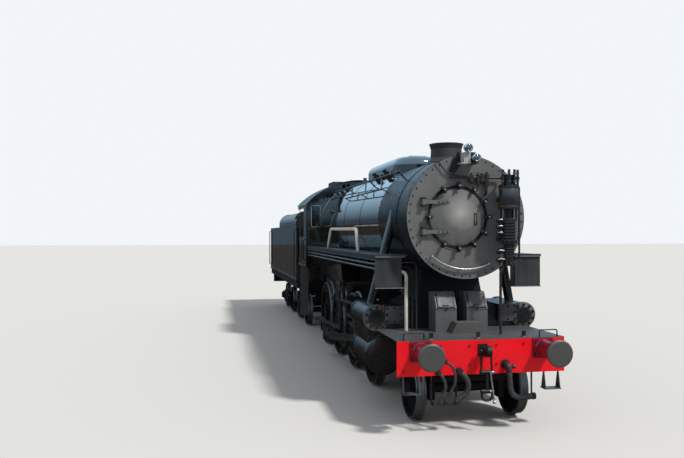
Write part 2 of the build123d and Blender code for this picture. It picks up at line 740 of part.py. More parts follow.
# Boiler
def smokebox():
    """A riveted drum with a front plate cut for the door, a tube plate behind and a hole for the chimney."""
    y0, y1 = smokebox_front_y, smokebox_back_y
    drum = bar_y(smokebox_r, 0, (y0, y1), boiler_z)
    drum -= bar_y(smokebox_r - smokebox_wall, 0, (y0 + front_plate, y1 - front_plate), boiler_z)
    drum -= bar_y(door_r - 20, door_x, (y0 - 5, y0 + front_plate + 5), boiler_z)
    drum -= bar_z(chimney_bore_r, 0, chimney_y, (boiler_z + 500, boiler_z + smokebox_r + 50))
    band = bar_y(smokebox_r + 7, 0, (y0 + 560, y0 + 640), boiler_z)
    band -= bar_y(smokebox_r - 1, 0, (y0, y1), boiler_z)
    drum += band - bar_z(chimney_r + 78, 0, chimney_y, (boiler_z + 500, chimney_top_z)) - saddle_space()
    seat = disc(door_x, boiler_z, seat_ring_r) - disc(door_x, boiler_z, door_r + 4)
    drum += from_front(seat, (y0 - seat_ring_thickness, y0))
    return drum


def smokebox_door():
    """The dished door with its two hinge straps."""
    seat_y = smokebox_front_y - door_gap
    ball_r = (door_r ** 2 + door_dish ** 2) / (2 * door_dish)
    ball = Pos(door_x, seat_y - door_lap - door_dish + ball_r, boiler_z) * Sphere(ball_r)
    door = ball & bar_y(door_r, door_x, (seat_y - door_lap - door_dish - 5, seat_y - door_lap), boiler_z)
    door += bar_y(door_r, door_x, (seat_y - door_lap, seat_y), boiler_z)
    straps = Part()
    strap_y = (seat_y - door_lap - 52, seat_y - door_lap - 24)
    for z in (boiler_z - door_hinge_gap / 2, boiler_z + door_hinge_gap / 2):
        strap = outline((door_hinge_x, -26), (door_hinge_x + 180, -26),
                        (door_x - 120, -10), (door_x - 120, 10),
                        (door_hinge_x + 180, 26), (door_hinge_x, 26))
        straps += from_front(Pos(0, z) * strap, strap_y)
        straps += from_front(Pos(0, z) * (strap & rectangle((door_x - 340, door_x), (-30, 30))),
                             (strap_y[0], seat_y - door_lap))
        straps += bar_z(28, door_hinge_x, sum(strap_y) / 2, (z - 40, z + 40))
        straps -= bar_z(hinge_pin_r + pin_gap, door_hinge_x, sum(strap_y) / 2, (z - 41, z + 41))
    return door + straps


def smokebox_fittings():
    """The dogs round the door and its hinge brackets."""
    return door_clamps() + door_hinge_posts()


def door_hinge_posts():
    """The two brackets on the smokebox front that hold the door's hinge pins."""
    posts = Part()
    seat_y = smokebox_front_y - door_gap
    pin_y = seat_y - door_lap - 38
    for z in (boiler_z - door_hinge_gap / 2, boiler_z + door_hinge_gap / 2):
        for sign in (-1, 1):
            ends = sorted((z + sign * 43, z + sign * 63))
            ear = block((door_hinge_x - 32, door_hinge_x + 32), (pin_y - 30, smokebox_front_y), ends)
            posts += ear
        posts += bar_z(hinge_pin_r, door_hinge_x, pin_y, (z - 60, z + 60))
    return posts


def door_clamps():
    """The dogs round the door's rim, each on its own bolt."""
    clamps = Part()
    for i in range(clamp_count):
        angle = i * 360 / clamp_count
        if abs(angle - 180) == 30:
            continue
        r = (door_r + clamp_gap, seat_ring_r + 14)
        dog = block(r, (-74, -seat_ring_thickness), (-16, 16)) + bar_y(17, sum(r) / 2, (-96, -74), 0)
        clamps += Pos(door_x, smokebox_front_y, boiler_z) * Rot(0, -angle, 0) * dog
    return clamps


def chimney():
    """A short stack that flares to a thin rim, on a skirt shaped to the smokebox."""
    foot_z = boiler_z + smokebox_r - 60
    cone = Cone(chimney_r + 14, chimney_r, chimney_top_z - foot_z)
    stack = Pos(0, chimney_y, (foot_z + chimney_top_z) / 2) * cone
    rim_z = chimney_top_z - chimney_rim_height
    stack += bar_z(chimney_rim_r, 0, chimney_y, (rim_z, chimney_top_z))
    flare = Cone(chimney_r, chimney_rim_r - 6, chimney_flare_height)
    stack += Pos(0, chimney_y, rim_z - chimney_flare_height / 2) * flare
    stack += Pos(0, chimney_y, foot_z + 55) * Cone(chimney_r + 75, chimney_r + 10, 110)
    stack -= bar_z(chimney_bore_r, 0, chimney_y, (foot_z - 50, chimney_top_z + 10))
    stack -= bar_y(smokebox_r, 0, (chimney_y - 600, chimney_y + 600), boiler_z)
    return stack


def barrel(extra=0):
    """The tapering barrel, or its band when extra is its thickness."""
    shape = Cone(boiler_r + extra, firebox_r + extra, barrel_length)
    return Pos(0, smokebox_back_y + barrel_length / 2, boiler_z) * Rot(-90, 0, 0) * shape


def firebox_section(gap=0):
    """The round top and tapering sides of the firebox, or a hole round them with a gap."""
    half_top, half_foot = firebox_r + gap, firebox_half_width + gap
    return disc(0, boiler_z, half_top) + outline((-half_top, boiler_z), (-half_foot, firebox_bottom_z),
                                                 (half_foot, firebox_bottom_z), (half_top, boiler_z))


def boiler_shell():
    """The lagged barrel, tapering out to the round-topped firebox."""
    return barrel() + from_front(firebox_section(), (firebox_front_y, firebox_back_y + backhead_length))


def boiler():
    """The barrel and firebox with their cladding bands, safety valves, steam turret and generator."""
    shell = boiler_shell() + boiler_bands()
    top = boiler_z + firebox_r
    for x in (-110, 110):
        shell += bar_z(62, x, firebox_front_y + 900, (top - 40, top + 60))
        shell += bar_z(40, x, firebox_front_y + 900, (top, top + 110))
    shell += block((-260, 260), (firebox_back_y - 420, firebox_back_y - 260), (top - 60, top + 70))
    for x in (-190, -65, 65, 190):
        shell += bar_y(26, x, (firebox_back_y - 260, firebox_back_y - 190), top + 30)
    shell += bar_z(34, -330, firebox_back_y - 340, (top - 120, top + 50))
    for i in range(3):
        y = firebox_front_y + 500 + i * 600
        for x in (-1, 1):
            shell += Pos(x * 560, y, boiler_z + 700) * Rot(0, x * 38, 0) * Cylinder(48, 110)
    return shell


def ashpan():
    """The hopper under the firebox, between the frames."""
    y0, y1 = firebox_front_y + 200, firebox_back_y - 20
    side = outline((y0, firebox_bottom_z), (y0, firebox_bottom_z - 150), (y0 + 500, frame_top_z + 90),
                   (y1 - 500, frame_top_z + 90), (y1, firebox_bottom_z - 150), (y1, firebox_bottom_z))
    return from_side(side, (-frame_inner_x + 10, frame_inner_x - 10))


def boiler_bands():
    """The cladding bands round the barrel, broken by the casing on its top."""
    bands = Part()
    for i in range(1, band_count + 1):
        y = smokebox_back_y + i * band_pitch
        ring = (y - band_half_width, y + band_half_width)
        bands += barrel(band_thickness) & bar_y(firebox_r + 50, 0, ring, boiler_z)
    bands -= barrel()
    w = casing_half_width
    return bands - block((-w, w), (casing_front_y, casing_front_y + casing_length), (boiler_z, casing_top_z))


def dome_casing():
    """The one long casing over the steam dome and the sand box, with the sand box's lid."""
    y0, y1 = casing_front_y, casing_front_y + casing_length
    w, foot = casing_half_width, boiler_z + 600
    profile = outline((-w, foot), (-w, casing_top_z), (w, casing_top_z), (w, foot))
    casing = from_front(profile, (y0, y1))
    casing = fillet(casing.edges().filter_by(Axis.Z), casing_end_r)
    casing = fillet(casing.faces().sort_by(Axis.Z)[-1].edges(), casing_shoulder_r)
    lid_y = (y0 + casing_end_r - 100, y0 + casing_end_r - 100 + sand_lid_length)
    lid_z = (casing_top_z - 20, casing_top_z + sand_lid_height)
    casing += block((-sand_lid_half_width, sand_lid_half_width), lid_y, lid_z)
    return casing - barrel()


def air_pump():
    """The steam-driven air compressor: steam cylinder above, ribbed air cylinders and valves below."""
    x, y, top = pump_x, pump_y, pump_top_z
    r = pump_steam_r
    pump = bar_z(r, x, y, (top - 520, top - 225)) + bar_z(r + 12, x, y, (top - 535, top - 510))
    pump += bar_z(r + 12, x, y, (top - 240, top - 212)) + bar_z(r - 45, x, y, (top - 212, top - 60))
    for sx, sy in ((-110, -55), (-40, -105), (40, -105), (110, -55)):
        pump += bar_z(18, x + sx, y + sy, (top - 215, top + 10))
        pump += bar_z(27, x + sx, y + sy, (top - 130, top - 90))
    pump += bar_z(42, x, y, (top - 690, top - 530))
    for sx, sy in ((-86, -56), (86, -56), (-86, 56), (86, 56)):
        pump += bar_z(16, x + sx, y + sy, (top - 690, top - 525))
    pump += bar_z(r - 18, x, y, (top - 705, top - 675))
    pump += bar_z(pump_air_r - 26, x, y, (top - 1030, top - 690))
    pump += bar_z(pump_air_r, x, y, (top - 1030, top - 1000))
    for i in range(8):
        z = top - 980 + i * 42
        pump += bar_z(pump_air_r, x, y, (z, z + 14))
    pump += bar_z(pump_air_r - 44, x, y, (top - 1330, top - 1020))
    pump += bar_z(pump_air_r - 30, x, y, (top - 1330, top - 1300))
    for i in range(4):
        z = top - 1200 + i * 36
        pump += bar_z(pump_air_r - 22, x, y, (z, z + 12))
    for z in (top - 700, top - 790, top - 880, top - 1130, top - 1250):
        pump += bar_x(34, (x - r - 30, x), y - 20, z) + bar_x(44, (x - r - 15, x - r + 15), y - 20, z)
    for z in (top - 400, top - 960):
        pump += block((x - 80, x + 80), (y, smokebox_front_y), (z - 30, z + 30))
    return pump


def headlamps():
    """Two small electric lamps on a box and a bracket over the smokebox front."""
    rim = boiler_z + smokebox_r
    lamps = block((-110, 60), (lamp_y + 30, smokebox_front_y - 40), (rim - 120, rim + 25))
    lamps += block((-150, 100), (lamp_y + 20, smokebox_front_y), (rim - 134, rim - 120))
    lamp = [(0, 0), (50, 0), (58, 12), (58, 60), (42, 105), (0, 120)]
    lamps += turned_y(lamp, -58, lamp_y - 20, rim + 85) + turned_y(lamp, 45, lamp_y - 60, rim - 58)
    lamps += block((-72, -44), (lamp_y + 30, lamp_y + 90), (rim + 20, rim + 60))
    lamps += block((20, 60), (lamp_y + 20, lamp_y + 60), (rim - 80, rim - 40))
    return lamps - bar_y(smokebox_r, 0, (smokebox_front_y, smokebox_front_y + 200), boiler_z)


# Rails and pipes
def polar(degrees, r):
    """The place in X and Z at an angle up from the right of the boiler's centre line."""
    return r * math.cos(math.radians(degrees)), boiler_z + r * math.sin(math.radians(degrees))


def handrails():
    """The rails along the boiler with the conduit under them, and those of the front, deck and cab."""
    y0, y1 = smokebox_front_y + 1060, cab_front_y
    x, z = polar(rail_deg, rail_r)
    low_x, low_z = polar(conduit_deg, rail_r - 40)
    side = tube([(x, y0, z), (x, y1, z)], rail_rod_r, 0) + Pos(x, y0, z) * Sphere(24)
    side += tube([(low_x, y0 + 500, low_z), (low_x, y0 + 3600, low_z)], rail_rod_r - 4, 0)
    for i in range(rail_posts):
        y = y0 + i * (y1 - 300 - y0) / (rail_posts - 1)
        foot_x, foot_z = polar(rail_deg, boiler_r - 20)
        side += tube([(foot_x, y, foot_z), (x, y, z)], rail_rod_r - 3, 0) + Pos(x, y, z) * Sphere(21)
    for y in (y0 + 510, y0 + 2100, y0 + 3580):
        foot_x, foot_z = polar(conduit_deg, boiler_r - 10)
        side += tube([(foot_x, y, foot_z), (low_x, y, low_z)], 9, 0)
    for y in (y0 + 560, y0 + 1750, y0 + 2980):
        side += tube([(x, y + 560, z), (low_x, y, low_z)], 13, 0)
    side -= barrel() + bar_y(smokebox_r, 0, (smokebox_front_y, smokebox_back_y), boiler_z) + boiler_shell()
    rails = both(side)
    arc = ThreePointArc((-522, front_rail_y, 2316), (12, front_rail_y, 2133), (323, front_rail_y, 2206))
    rails += sweep(Plane(arc @ 0, z_dir=arc % 0) * Circle(14), path=arc)
    for t in (0.0, 0.5, 1.0):
        post = arc @ t
        rails += bar_y(12, post.X, (front_rail_y, smokebox_front_y), post.Z) + Pos(*post) * Sphere(20)
    for x0, x1 in ((-1090, -810), (827, 1085)):
        rails += tube([(x0, hoop_y, deck_z), (x0, hoop_y, deck_z + 95),
                       (x1, hoop_y, deck_z + 95), (x1, hoop_y, deck_z)], 9, 28)
    for x0 in (-710, -52, 600):
        iron = outline((hoop_y - 16, deck_z), (hoop_y + 44, deck_z),
                       (hoop_y + 16, deck_z + 22), (hoop_y + 8, deck_z + 92),
                       (hoop_y - 6, deck_z + 92), (hoop_y - 6, deck_z + 22))
        rails += from_side(iron, (x0 - 26, x0 + 26))
    w = cab_half_width
    for y, z0, z1 in ((cab_back_y - 340, cab_floor_z + 60, sill_z + 500),
                      (cab_front_y + 60, cab_floor_z + 120, sill_z - 60)):
        rails += both(tube([(w, y, z0), (w + 55, y, z0), (w + 55, y, z1), (w, y, z1)], 13, 30))
    return rails


def front_pipework():
    """Pipes and valves of the pump and the smokebox front, and the cocks on the buffer beam."""
    y, z = smokebox_front_y - 60, pump_top_z - 87
    pipes = tube([(-244, y, z), (300, y, z)], 17, 0) + Pos(-244, y, z) * Sphere(17)
    for x, r, h in ((50, 42, 66), (150, 30, 90), (212, 46, 60), (282, 34, 120)):
        pipes += bar_z(r, x, y, (z - h, z + h * 0.4)) + bar_z(r * 0.45, x, y, (z - h - 30, z + h * 0.4 + 34))
    pipes += tube([(276, y, z), (276, y, z - 240), (276, smokebox_front_y + 5, z - 240)], 20, 60)
    pipes += tube([(-438, y + 20, z + 227), (-330, y + 20, z + 90), (-200, y, z + 30), (40, y, z)], 10, 60)
    pipes += bar_y(12, -438, (y + 20, smokebox_front_y), z + 227) + Pos(-438, y + 20, z + 227) * Sphere(14)
    for x in (-244, 100):
        pipes += bar_y(12, x, (y, smokebox_front_y), z)
    pipes += tube([(300, y, z), (pump_x - 20, y, z), (pump_x - 20, pump_y + pump_steam_r - 65, z)], 17, 50)
    out = pump_x + pump_steam_r + 22
    pipes += tube([(out - 60, pump_y, pump_top_z - 225), (out, pump_y, pump_top_z - 225),
                   (out, pump_y, pump_top_z - 1250),
                   (out - 60, pump_y, pump_top_z - 1290), (pump_x + 50, pump_y, pump_top_z - 1290)], 15, 24)
    pipes += tube([(pump_x - 60, pump_y, pump_top_z - 1315), (pump_x - 122, pump_y, pump_top_z - 1420),
                   (pump_x - 122, pump_y, deck_z)], 19, 60)
    bracket = board_top_z - board_plate
    for x, drop, r in ((-640, 100, 12), (-712, 165, 12)):
        pipes += tube([(-1000 + drop * 0.3, left_pipe_y, bracket),
                       (-1000 + drop * 0.3, left_pipe_y, bracket - drop),
                       (x, left_pipe_y, bracket - drop), (x, left_pipe_y, deck_z)], r, 60)
    for x, z, r in ((-536, 951, 24), (-335, 812, 40), (-628, 806, 26)):
        pipes += bar_y(r, x, (hose_y - 8, beam_front_y), z) + bar_y(r + 12, x,
                                                                    (beam_front_y - 14, beam_front_y), z)
    pipes += tube([(318, beam_front_y, 884), (318, hose_y, 884), (330, hose_y, 800)], 40, 38)
    pipes += bar_y(64, 318, (beam_front_y - 16, beam_front_y), 884) + bar_x(16, (318, 412), hose_y, 868)
    pipes += bar_x(30, (385, 410), hose_y, 868)
    pipes += bar_x(46, (655, 700), hose_y, 464)
    for x in (706, -714, -366):
        low = 430 if x > 0 else 386
        pipes += block((x - 6, x + 6), (hose_y - 16, beam_back_y), (low, low + 46))
        pipes += block((x - 6, x + 6), (beam_front_y, beam_back_y), (low + 46, beam_bottom_z))
    pipes += block((-714, -366), (hose_y + 4, hose_y + 38), (386, 396))
    for x, r in ((-545, 26), (-395, 42), (-628, 26)):
        pipes += bar_z(r, x, hose_y + 20, (396, 430))
    pipes -= air_pump() + bar_y(smokebox_r, 0, (smokebox_front_y, smokebox_back_y), boiler_z)
    return pipes


def front_hoses():
    """The brake and heating hoses in front of the beam, each held at both ends."""
    hoses = hose([(330, hose_y, 800), (346, hose_y, 690), (350, hose_y, 575),
                  (388, hose_y, 482), (480, hose_y, 446),
                  (590, hose_y, 452), (655, hose_y, 464)], 37)
    hoses += hose([(-536, hose_y - 8, 951), (-490, hose_y - 30, 925),
                   (-440, hose_y - 34, 850), (-425, hose_y - 30, 750),
                   (-440, hose_y - 14, 640), (-490, hose_y + 6, 540),
                   (-540, hose_y + 20, 474), (-545, hose_y + 20, 430)], 18)
    hoses += hose([(-335, hose_y - 8, 812), (-292, hose_y - 34, 762),
                   (-248, hose_y - 30, 680), (-246, hose_y - 20, 590),
                   (-296, hose_y - 4, 510), (-372, hose_y + 14, 462), (-395, hose_y + 20, 430)], 35)
    hoses += hose([(-628, hose_y - 8, 806), (-596, hose_y - 24, 756),
                   (-560, hose_y - 20, 680), (-558, hose_y - 8, 590),
                   (-594, hose_y + 6, 510), (-625, hose_y + 18, 462), (-628, hose_y + 20, 430)], 20)
    return hoses - front_pipework()


def lagged_pipes():
    """The two pale lagged pipes on the left: one down to the deck, one looped beside the firebox."""
    top = board_top_z - board_plate
    pipes = tube([(-1070, left_pipe_y + 30, top), (-1070, left_pipe_y + 30, top - 215),
                  (-785, left_pipe_y + 30, top - 235),
                  (-785, left_pipe_y + 30, deck_z)], 25, 85)
    x = -board_half_width + 120
    pipes += tube([(x, firebox_front_y - 210, board_top_z), (x, firebox_front_y - 560, board_top_z + 400),
                   (x, smokebox_back_y + 450, board_top_z + 385), (x, smokebox_back_y + 290,
                                                                   board_top_z)], 27, 110)
    return pipes - running_boards()


# Running boards
def running_boards():
    """The boards along the boiler with their valances, boiler brackets and front plates."""
    z1, z0 = board_top_z, board_top_z - board_plate
    board = block((board_inner_x, board_half_width), (board_front_y, firebox_front_y), (z0, z1))
    board += block((firebox_r + 15, board_half_width), (firebox_front_y, cab_front_y), (z0, z1))
    board += block((board_half_width - 10, board_half_width), (board_front_y, cab_front_y),
                   (z0 - valance_height, z0))
    for y in (smokebox_back_y + 150, firebox_front_y - 300):
        board += block((boiler_r - 250, board_half_width - 200), (y, y + 16), (z0 - 90, z0))
    edge = (board_half_width - front_plate_width, board_half_width)
    board += block(edge, (board_front_y - 10, board_front_y), (z1 - front_plate_height, z1))
    lip = (edge[0] - front_plate_lip, edge[1])
    foot_z = z1 - front_plate_height
    board += block(lip, (board_front_y - 40, board_front_y), (z1 - 34, z1 + 6))
    board += block(lip, (board_front_y - 40, board_front_y + 120), (foot_z - 10, foot_z))
    board -= tube(steam_pipe_path, steam_pipe_r + 6, 0)
    return both(board - barrel())


def cooling_pipes():
    """The three air pipes slung under the edge of each board, on their hangers."""
    pipes = Part()
    y0, y1 = board_front_y + 10, cab_front_y - 40
    x = board_half_width - 30
    top = board_top_z - board_plate
    for i in range(3):
        pipes += bar_y(cooling_pipe_r, x, (y0, y1), top - 62 - i * cooling_pipe_drop)
    for i in range(7):
        y = y0 + 120 + i * (y1 - y0 - 240) / 6
        pipes += block((x - 34, x - 14), (y - 15, y + 15), (top - 62 - 2 * cooling_pipe_drop - 24, top))
    return both(pipes)


# Cab
def arch(half_width, top):
    """The space under a roof line that springs from both eaves."""
    curve = ThreePointArc((half_width, eave_z), (0, top), (-half_width, eave_z))
    return make_face(Line((-half_width, eave_z), (half_width, eave_z)) + curve)




def cab_shell():
    """Front sheet with two windows, and the side sheets with their large side openings."""
    y0, y1 = cab_front_y, cab_back_y
    w = cab_half_width
    under_roof = arch(roof_half_width - roof_thickness, roof_top_z - roof_thickness)
    front = rectangle((-w, w),
                      (cab_bottom_z, eave_z)) + (under_roof & rectangle((-w, w), (eave_z, roof_top_z)))
    front -= firebox_section(fit_gap)
    front -= rectangle(front_pane, pane_z) + rectangle((-front_pane[1], -front_pane[0]), pane_z)
    side = rectangle((y0 + cab_plate, y1), (cab_bottom_z, eave_z))
    side -= window((y0 + 420, y1 - 380), (sill_z, eave_z - 90), 60)
    side -= rectangle((y1 - 300, y1 + 10), (cab_floor_z + 40, eave_z - 90))
    shell = from_front(front, (y0, y0 + cab_plate)) + both(from_side(side, (w - cab_plate, w)))
    for ends in (front_pane, tuple(-x for x in reversed(front_pane))):
        frame = rectangle((ends[0] - 22, ends[1] + 22),
                          (pane_z[0] - 22, pane_z[1] + 22)) - rectangle(ends, pane_z)
        shell += from_front(frame, (y0 - 16, y0))
    return shell


def cab_windows():
    """The two panes in the front sheet."""
    x, z = (front_pane[0] + pin_gap, front_pane[1] - pin_gap), (pane_z[0] + pin_gap, pane_z[1] - pin_gap)
    return both(block(x, (cab_front_y, cab_front_y + cab_plate), z))


def cab_fittings():
    """What stands on the backhead and the floor: fire door, regulator, gauges, brake stand and seats."""
    y = firebox_back_y + backhead_length
    parts = turned_y([(0, 0), (250, 0), (250, 30), (215, 55), (0, 62)], 0, y, 2330)
    parts += bar_x(16, (-330, 420), y + 95, 3180) + bar_y(34, 0, (y, y + 110), 3180)
    parts += from_front(stretcher(((0, 3180), (280, 2890)), 30), (y + 105, y + 117))
    for x, z in ((-300, 2980), (-120, 3060), (160, 3060), (330, 2990)):
        parts += turned_y([(0, 0), (30, 0), (30, 22), (78, 22), (78, 60), (70, 66), (0, 66)], x, y, z)
    for x in (-210, 210):
        parts += bar_z(14, x, y + 60, (2600, 2900))
        for z in (2625, 2875):
            parts += block((x - 22, x + 22), (y, y + 84), (z - 20, z + 20))
    parts += bar_z(30, 560, y + 120, (cab_floor_z, 2700)) + bar_x(18, (430, 690), y + 120, 2690)
    parts += block((520, 600), (y + 60, y + 180), (cab_floor_z, cab_floor_z + 60))
    for x in (-1, 1):
        seat = sorted((x * 800, x * (cab_half_width - cab_plate)))
        parts += block(seat, (y + 120, y + 560), (2330, 2400)) + block(seat, (y + 160, y + 200),
                                                                       (cab_floor_z, 2330))
        parts += block(seat, (y + 480, y + 520), (cab_floor_z, 2330))
    return parts


def cab_roof():
    """The arched roof, longer than the cab at both ends."""
    shape = arch(roof_half_width, roof_top_z) - arch(roof_half_width - roof_thickness,
                                                     roof_top_z - roof_thickness)
    roof = from_front(shape, (cab_front_y - roof_overhang, cab_back_y + 120))
    for x in (-330, 330):
        hatch = block((x - 220, x + 220), (cab_front_y + 420, cab_front_y + 1120),
                      (roof_top_z - 120, roof_top_z + 4))
        roof += hatch - from_front(arch(roof_half_width, roof_top_z), (cab_front_y, cab_back_y))
    return roof


def cab_floor():
    """The footplate and the drag box under it, with a slot for the drawbar."""
    y0, y1 = firebox_back_y + backhead_length, cab_back_y
    floor = block((-cab_half_width + cab_plate, cab_half_width - cab_plate),
                  (y0, y1), (cab_floor_z - 30, cab_floor_z))
    floor += block((-frame_inner_x, frame_inner_x), (y1 - 300, y1 - 10),
                   (frame_top_z - 200, cab_floor_z - 30))
    for side in (-1, 1):
        for z in step_zs:
            floor += block(sorted((side * 1080, side * 1262)), (y1 - 480, y1 - 220), (z, z + 10))
            floor += block(sorted((side * 1080, side * 1088)), (y1 - 480, y1 - 220), (z, z + 90))
        for y in (y1 - 480, y1 - 230):
            floor += block(sorted((side * 1088, side * 1262)), (y, y + 10), (step_zs[0], cab_floor_z - 30))
    floor -= block((-220, 220), (y1 - 310, y1),
                   (draw_z - running_gap * 2, draw_z + draw_height + running_gap * 2))
    return floor + fall_plate() + bar_z(draw_pin_r, 0, draw_pin_y, (frame_top_z - 190, cab_floor_z - 40))


def fall_plate():
    """The plate that bridges the gap to the tender."""
    return block((-900, 900), (cab_back_y, tender_front_y + 160),
                 (cab_floor_z - fall_plate_thickness, cab_floor_z))


# Front end
def front_beam():
    """The buffer beam across the front."""
    beam = block((-beam_half_width, beam_half_width), (beam_front_y, beam_back_y),
                 (beam_bottom_z, beam_top_z))
    return beam


def front_deck():
    """The deck plate over the frames, the raised cover before the tool boxes, and the corner steps."""
    deck = block((-beam_half_width, beam_half_width),
                 (beam_front_y, cylinder_front_y - valve_overhang - cover_thickness - 30),
                 (beam_top_z, deck_z))
    deck += both(block((frame_inner_x, frame_outer_x), (beam_back_y, cylinder_front_y),
                       (frame_top_z, beam_top_z)))
    cover = outline((-240, deck_z), (240, deck_z), (205, deck_z + cover_height),
                    (-175, deck_z + cover_height))
    deck += from_front(cover, (cover_front_y, box_front_y - 10))
    step = block((870, 1110), (beam_front_y - 60, beam_back_y + 60), (step_z, step_z + 10))
    for x in (880, 1090):
        bracket = outline((beam_front_y - 50, step_z + 10), (beam_back_y + 50, step_z + 10),
                          (beam_back_y, beam_bottom_z),
                          (beam_front_y, beam_bottom_z))
        step += from_side(bracket, (x, x + 10))
    return deck + both(step)


def buffer(x, face_y, beam_y):
    """One round buffer: base plate, tapered housing, plunger and head, facing away from the beam."""
    way = -1 if beam_y > face_y else 1
    full, thick = buffer_length, buffer_head_thickness
    profile = [(0, 12), (132, 12), (132, 38), (housing_r, 60), (housing_r - 10, full * 0.57),
               (housing_r + 6, full * 0.58),
               (housing_r + 6, full * 0.65), (plunger_r, full * 0.65), (plunger_r, full - thick - 28),
               (plunger_r + 34, full - thick - 8), (buffer_head_r, full - thick), (buffer_head_r, full - 9),
               (buffer_head_r - 20, full), (0, full)]
    plate_y = sorted((beam_y, beam_y + way * 20))
    plate = block((x - base_half_width, x + base_half_width), plate_y, (buffer_z - 128, beam_top_z - 2))
    return plate + turned_y(profile, x, beam_y, buffer_z, way)


def drawhook(beam_y, way):
    """The hook and the screw coupling that hangs from it, with its shackle and turning bar."""
    z = buffer_z
    def y(d):
        return beam_y + way * d
    side = rectangle(sorted((y(0), y(180))), (z - 36, z + 40)) + disc(y(196), z + 14, 76)
    side -= disc(y(190), z + 40, 33) + rectangle(sorted((y(157), y(196))), (z + 40, z + 110))
    hook = from_side(side, (-30, 30)) + block((-64, 64), sorted((y(0), y(16))), (z - 84, z + 84))
    hook += bar_x(20, (-88, 88), y(112), z)
    link = lever(((y(112), z), (y(150), z - 270)), (30, 30), (34, 36), (0, 0))
    hook += both(from_side(link, (62, 80)))
    hook += bar_x(28, (-92, 92), y(150), z - 270) + bar_z(21, 0, y(150), (z - 520, z - 262))
    hook += bar_x(30, (-84, 84), y(150), z - 520)
    hook += tube([(-70, y(150), z - 520), (-70, y(150), z - 640), (70, y(150), z - 640),
                  (70, y(150), z - 520)], 16, 60)
    hook += tube([(40, y(168), z - 262), (84, y(196), z - 650)], 10, 0) + Pos(84,
                                                                              y(196), z - 655) * Sphere(24)
    return hook + bar_y(12, 40, sorted((y(150), y(175))), z - 268)


def tool_box_side(inset):
    """The side view of a tool box, with walls moved in by inset under its open, sloping front."""
    y0, y1, z = box_front_y, box_front_y + box_depth, deck_z
    top, knee = z + box_height, z + box_height - box_slope_rise
    return outline((y0 + inset, z + inset), (y1 - inset, z + inset), (y1 - inset, top - inset),
                   (y0 + box_slope_run + inset * 0.4, top - inset), (y0 + inset, knee - inset * 0.4))


def tool_box(x):
    """One of the two boxes on the deck, open on the slope that its lid covers."""
    box = from_side(tool_box_side(0), (x - box_half_width, x + box_half_width))
    inner = (x - box_half_width + box_wall, x + box_half_width - box_wall)
    box -= from_side(tool_box_side(box_wall), inner)
    cut = Pos(x, *slope_middle()) * Rot(slope_deg, 0, 0) * Box(inner[1] - inner[0], slope_length - 40, 60)
    return box - cut - bar_x(lid_pin_r + 2, (x - box_half_width, x + box_half_width), *hinge_line())


def hinge_line():
    return box_front_y + box_slope_run, deck_z + box_height


def slope_middle():
    return box_front_y + box_slope_run / 2, deck_z + box_height - box_slope_rise / 2


def tool_box_lid(x):
    """The lid on a box's slope, with its handle, hinged along its top edge."""
    lid = Pos(0, 0, 9) * Box(2 * box_half_width - 16, slope_length - 10, 12)
    lid += Pos(0, -slope_length / 2 + 50, 24) * Box(90, 14, 20)
    pin = bar_x(lid_pin_r, (x - box_half_width + 8, x + box_half_width - 8), *hinge_line())
    return Pos(x, *slope_middle()) * Rot(slope_deg, 0, 0) * lid + pin


# Tender
def tender_frame():
    """Sills, cross members, deck and rear beam."""
    y0, y1 = tender_front_y, rear_beam_y
    z1 = tender_deck_z
    deck = block((-tender_half_width, tender_half_width), (y0, y1), (z1 - 14, z1 + 12))
    sill = block((300, 420), (y0 + 30, y1 - beam_thickness), (z1 - sill_depth, z1 - 14))
    side = block((tender_half_width - 110, tender_half_width - 30),
                 (y0 + 30, y1 - beam_thickness), (z1 - 190, z1 - 14))
    frame = deck + both(sill + side)
    for y in (y0 + 40, bogie_ys[0] - 100, (y0 + y1) / 2, bogie_ys[1] - 100, y1 - beam_thickness - 130):
        frame += block((-tender_half_width + 40, tender_half_width - 40), (y, y + 90), (z1 - 180, z1 - 14))
    for y in bogie_ys:
        frame += block((-420, 420), (y - 170, y + 170), (z1 - sill_depth, z1 - 14))
        frame += bar_z(180, 0, y, (bolster_top_z + 2, z1 - sill_depth + 5))
        frame += bar_z(king_pin_r, 0, y, (bolster_top_z - 120, z1 - sill_depth))
    frame += block((-beam_half_width, beam_half_width), (y1 - beam_thickness, y1),
                   (beam_bottom_z + 90, z1 - 14))
    return frame


def tender_tank():
    """The water tank round a sloping coal bunker, open above and at the front."""
    y0, y1 = tender_front_y, rear_beam_y - 60
    w, r = tender_half_width, tank_shoulder_r
    z0, z1 = tank_bottom_z, tank_top_z
    path = Polyline((w - r, z1), (-w + r, z1)) + ThreePointArc((-w + r, z1),
                                                               (-w + r * 0.293, z1 - r * 0.293), (-w, z1 - r))
    path += Polyline((-w, z1 - r), (-w, z0), (w, z0), (w, z1 - r))
    path += ThreePointArc((w, z1 - r), (w - r * 0.293, z1 - r * 0.293), (w - r, z1))
    tank = from_front(make_face(path), (y0, y1))
    wall = w - bunker_wall
    well = outline((y0 + footplate_length, tender_floor_z), (y0 + footplate_length + 1500, tender_floor_z),
                   (y0 + bunker_length, z1 - 250), (y0 + bunker_length,
                                                    z1 + 50), (y0 + footplate_length, z1 + 50))
    tank -= from_side(well, (-wall, wall))
    tank -= block((-w + 14, w - 14), (y0 - 5, y0 + footplate_length - 30), (tender_floor_z, z1 + 50))
    tank -= block((-700, 700), (y0 + footplate_length - 40, y0 + footplate_length + 40),
                  (tender_floor_z, z1 + 50))
    tank -= block((-w - 5, w + 5), (y0 + bunker_length + 200, y1 + 5), (z1 - tank_step, z1 + 50))
    return tank - bar_z(hatch_r - 10, 0, hatch_y, (z1 - tank_step - 400, z1))


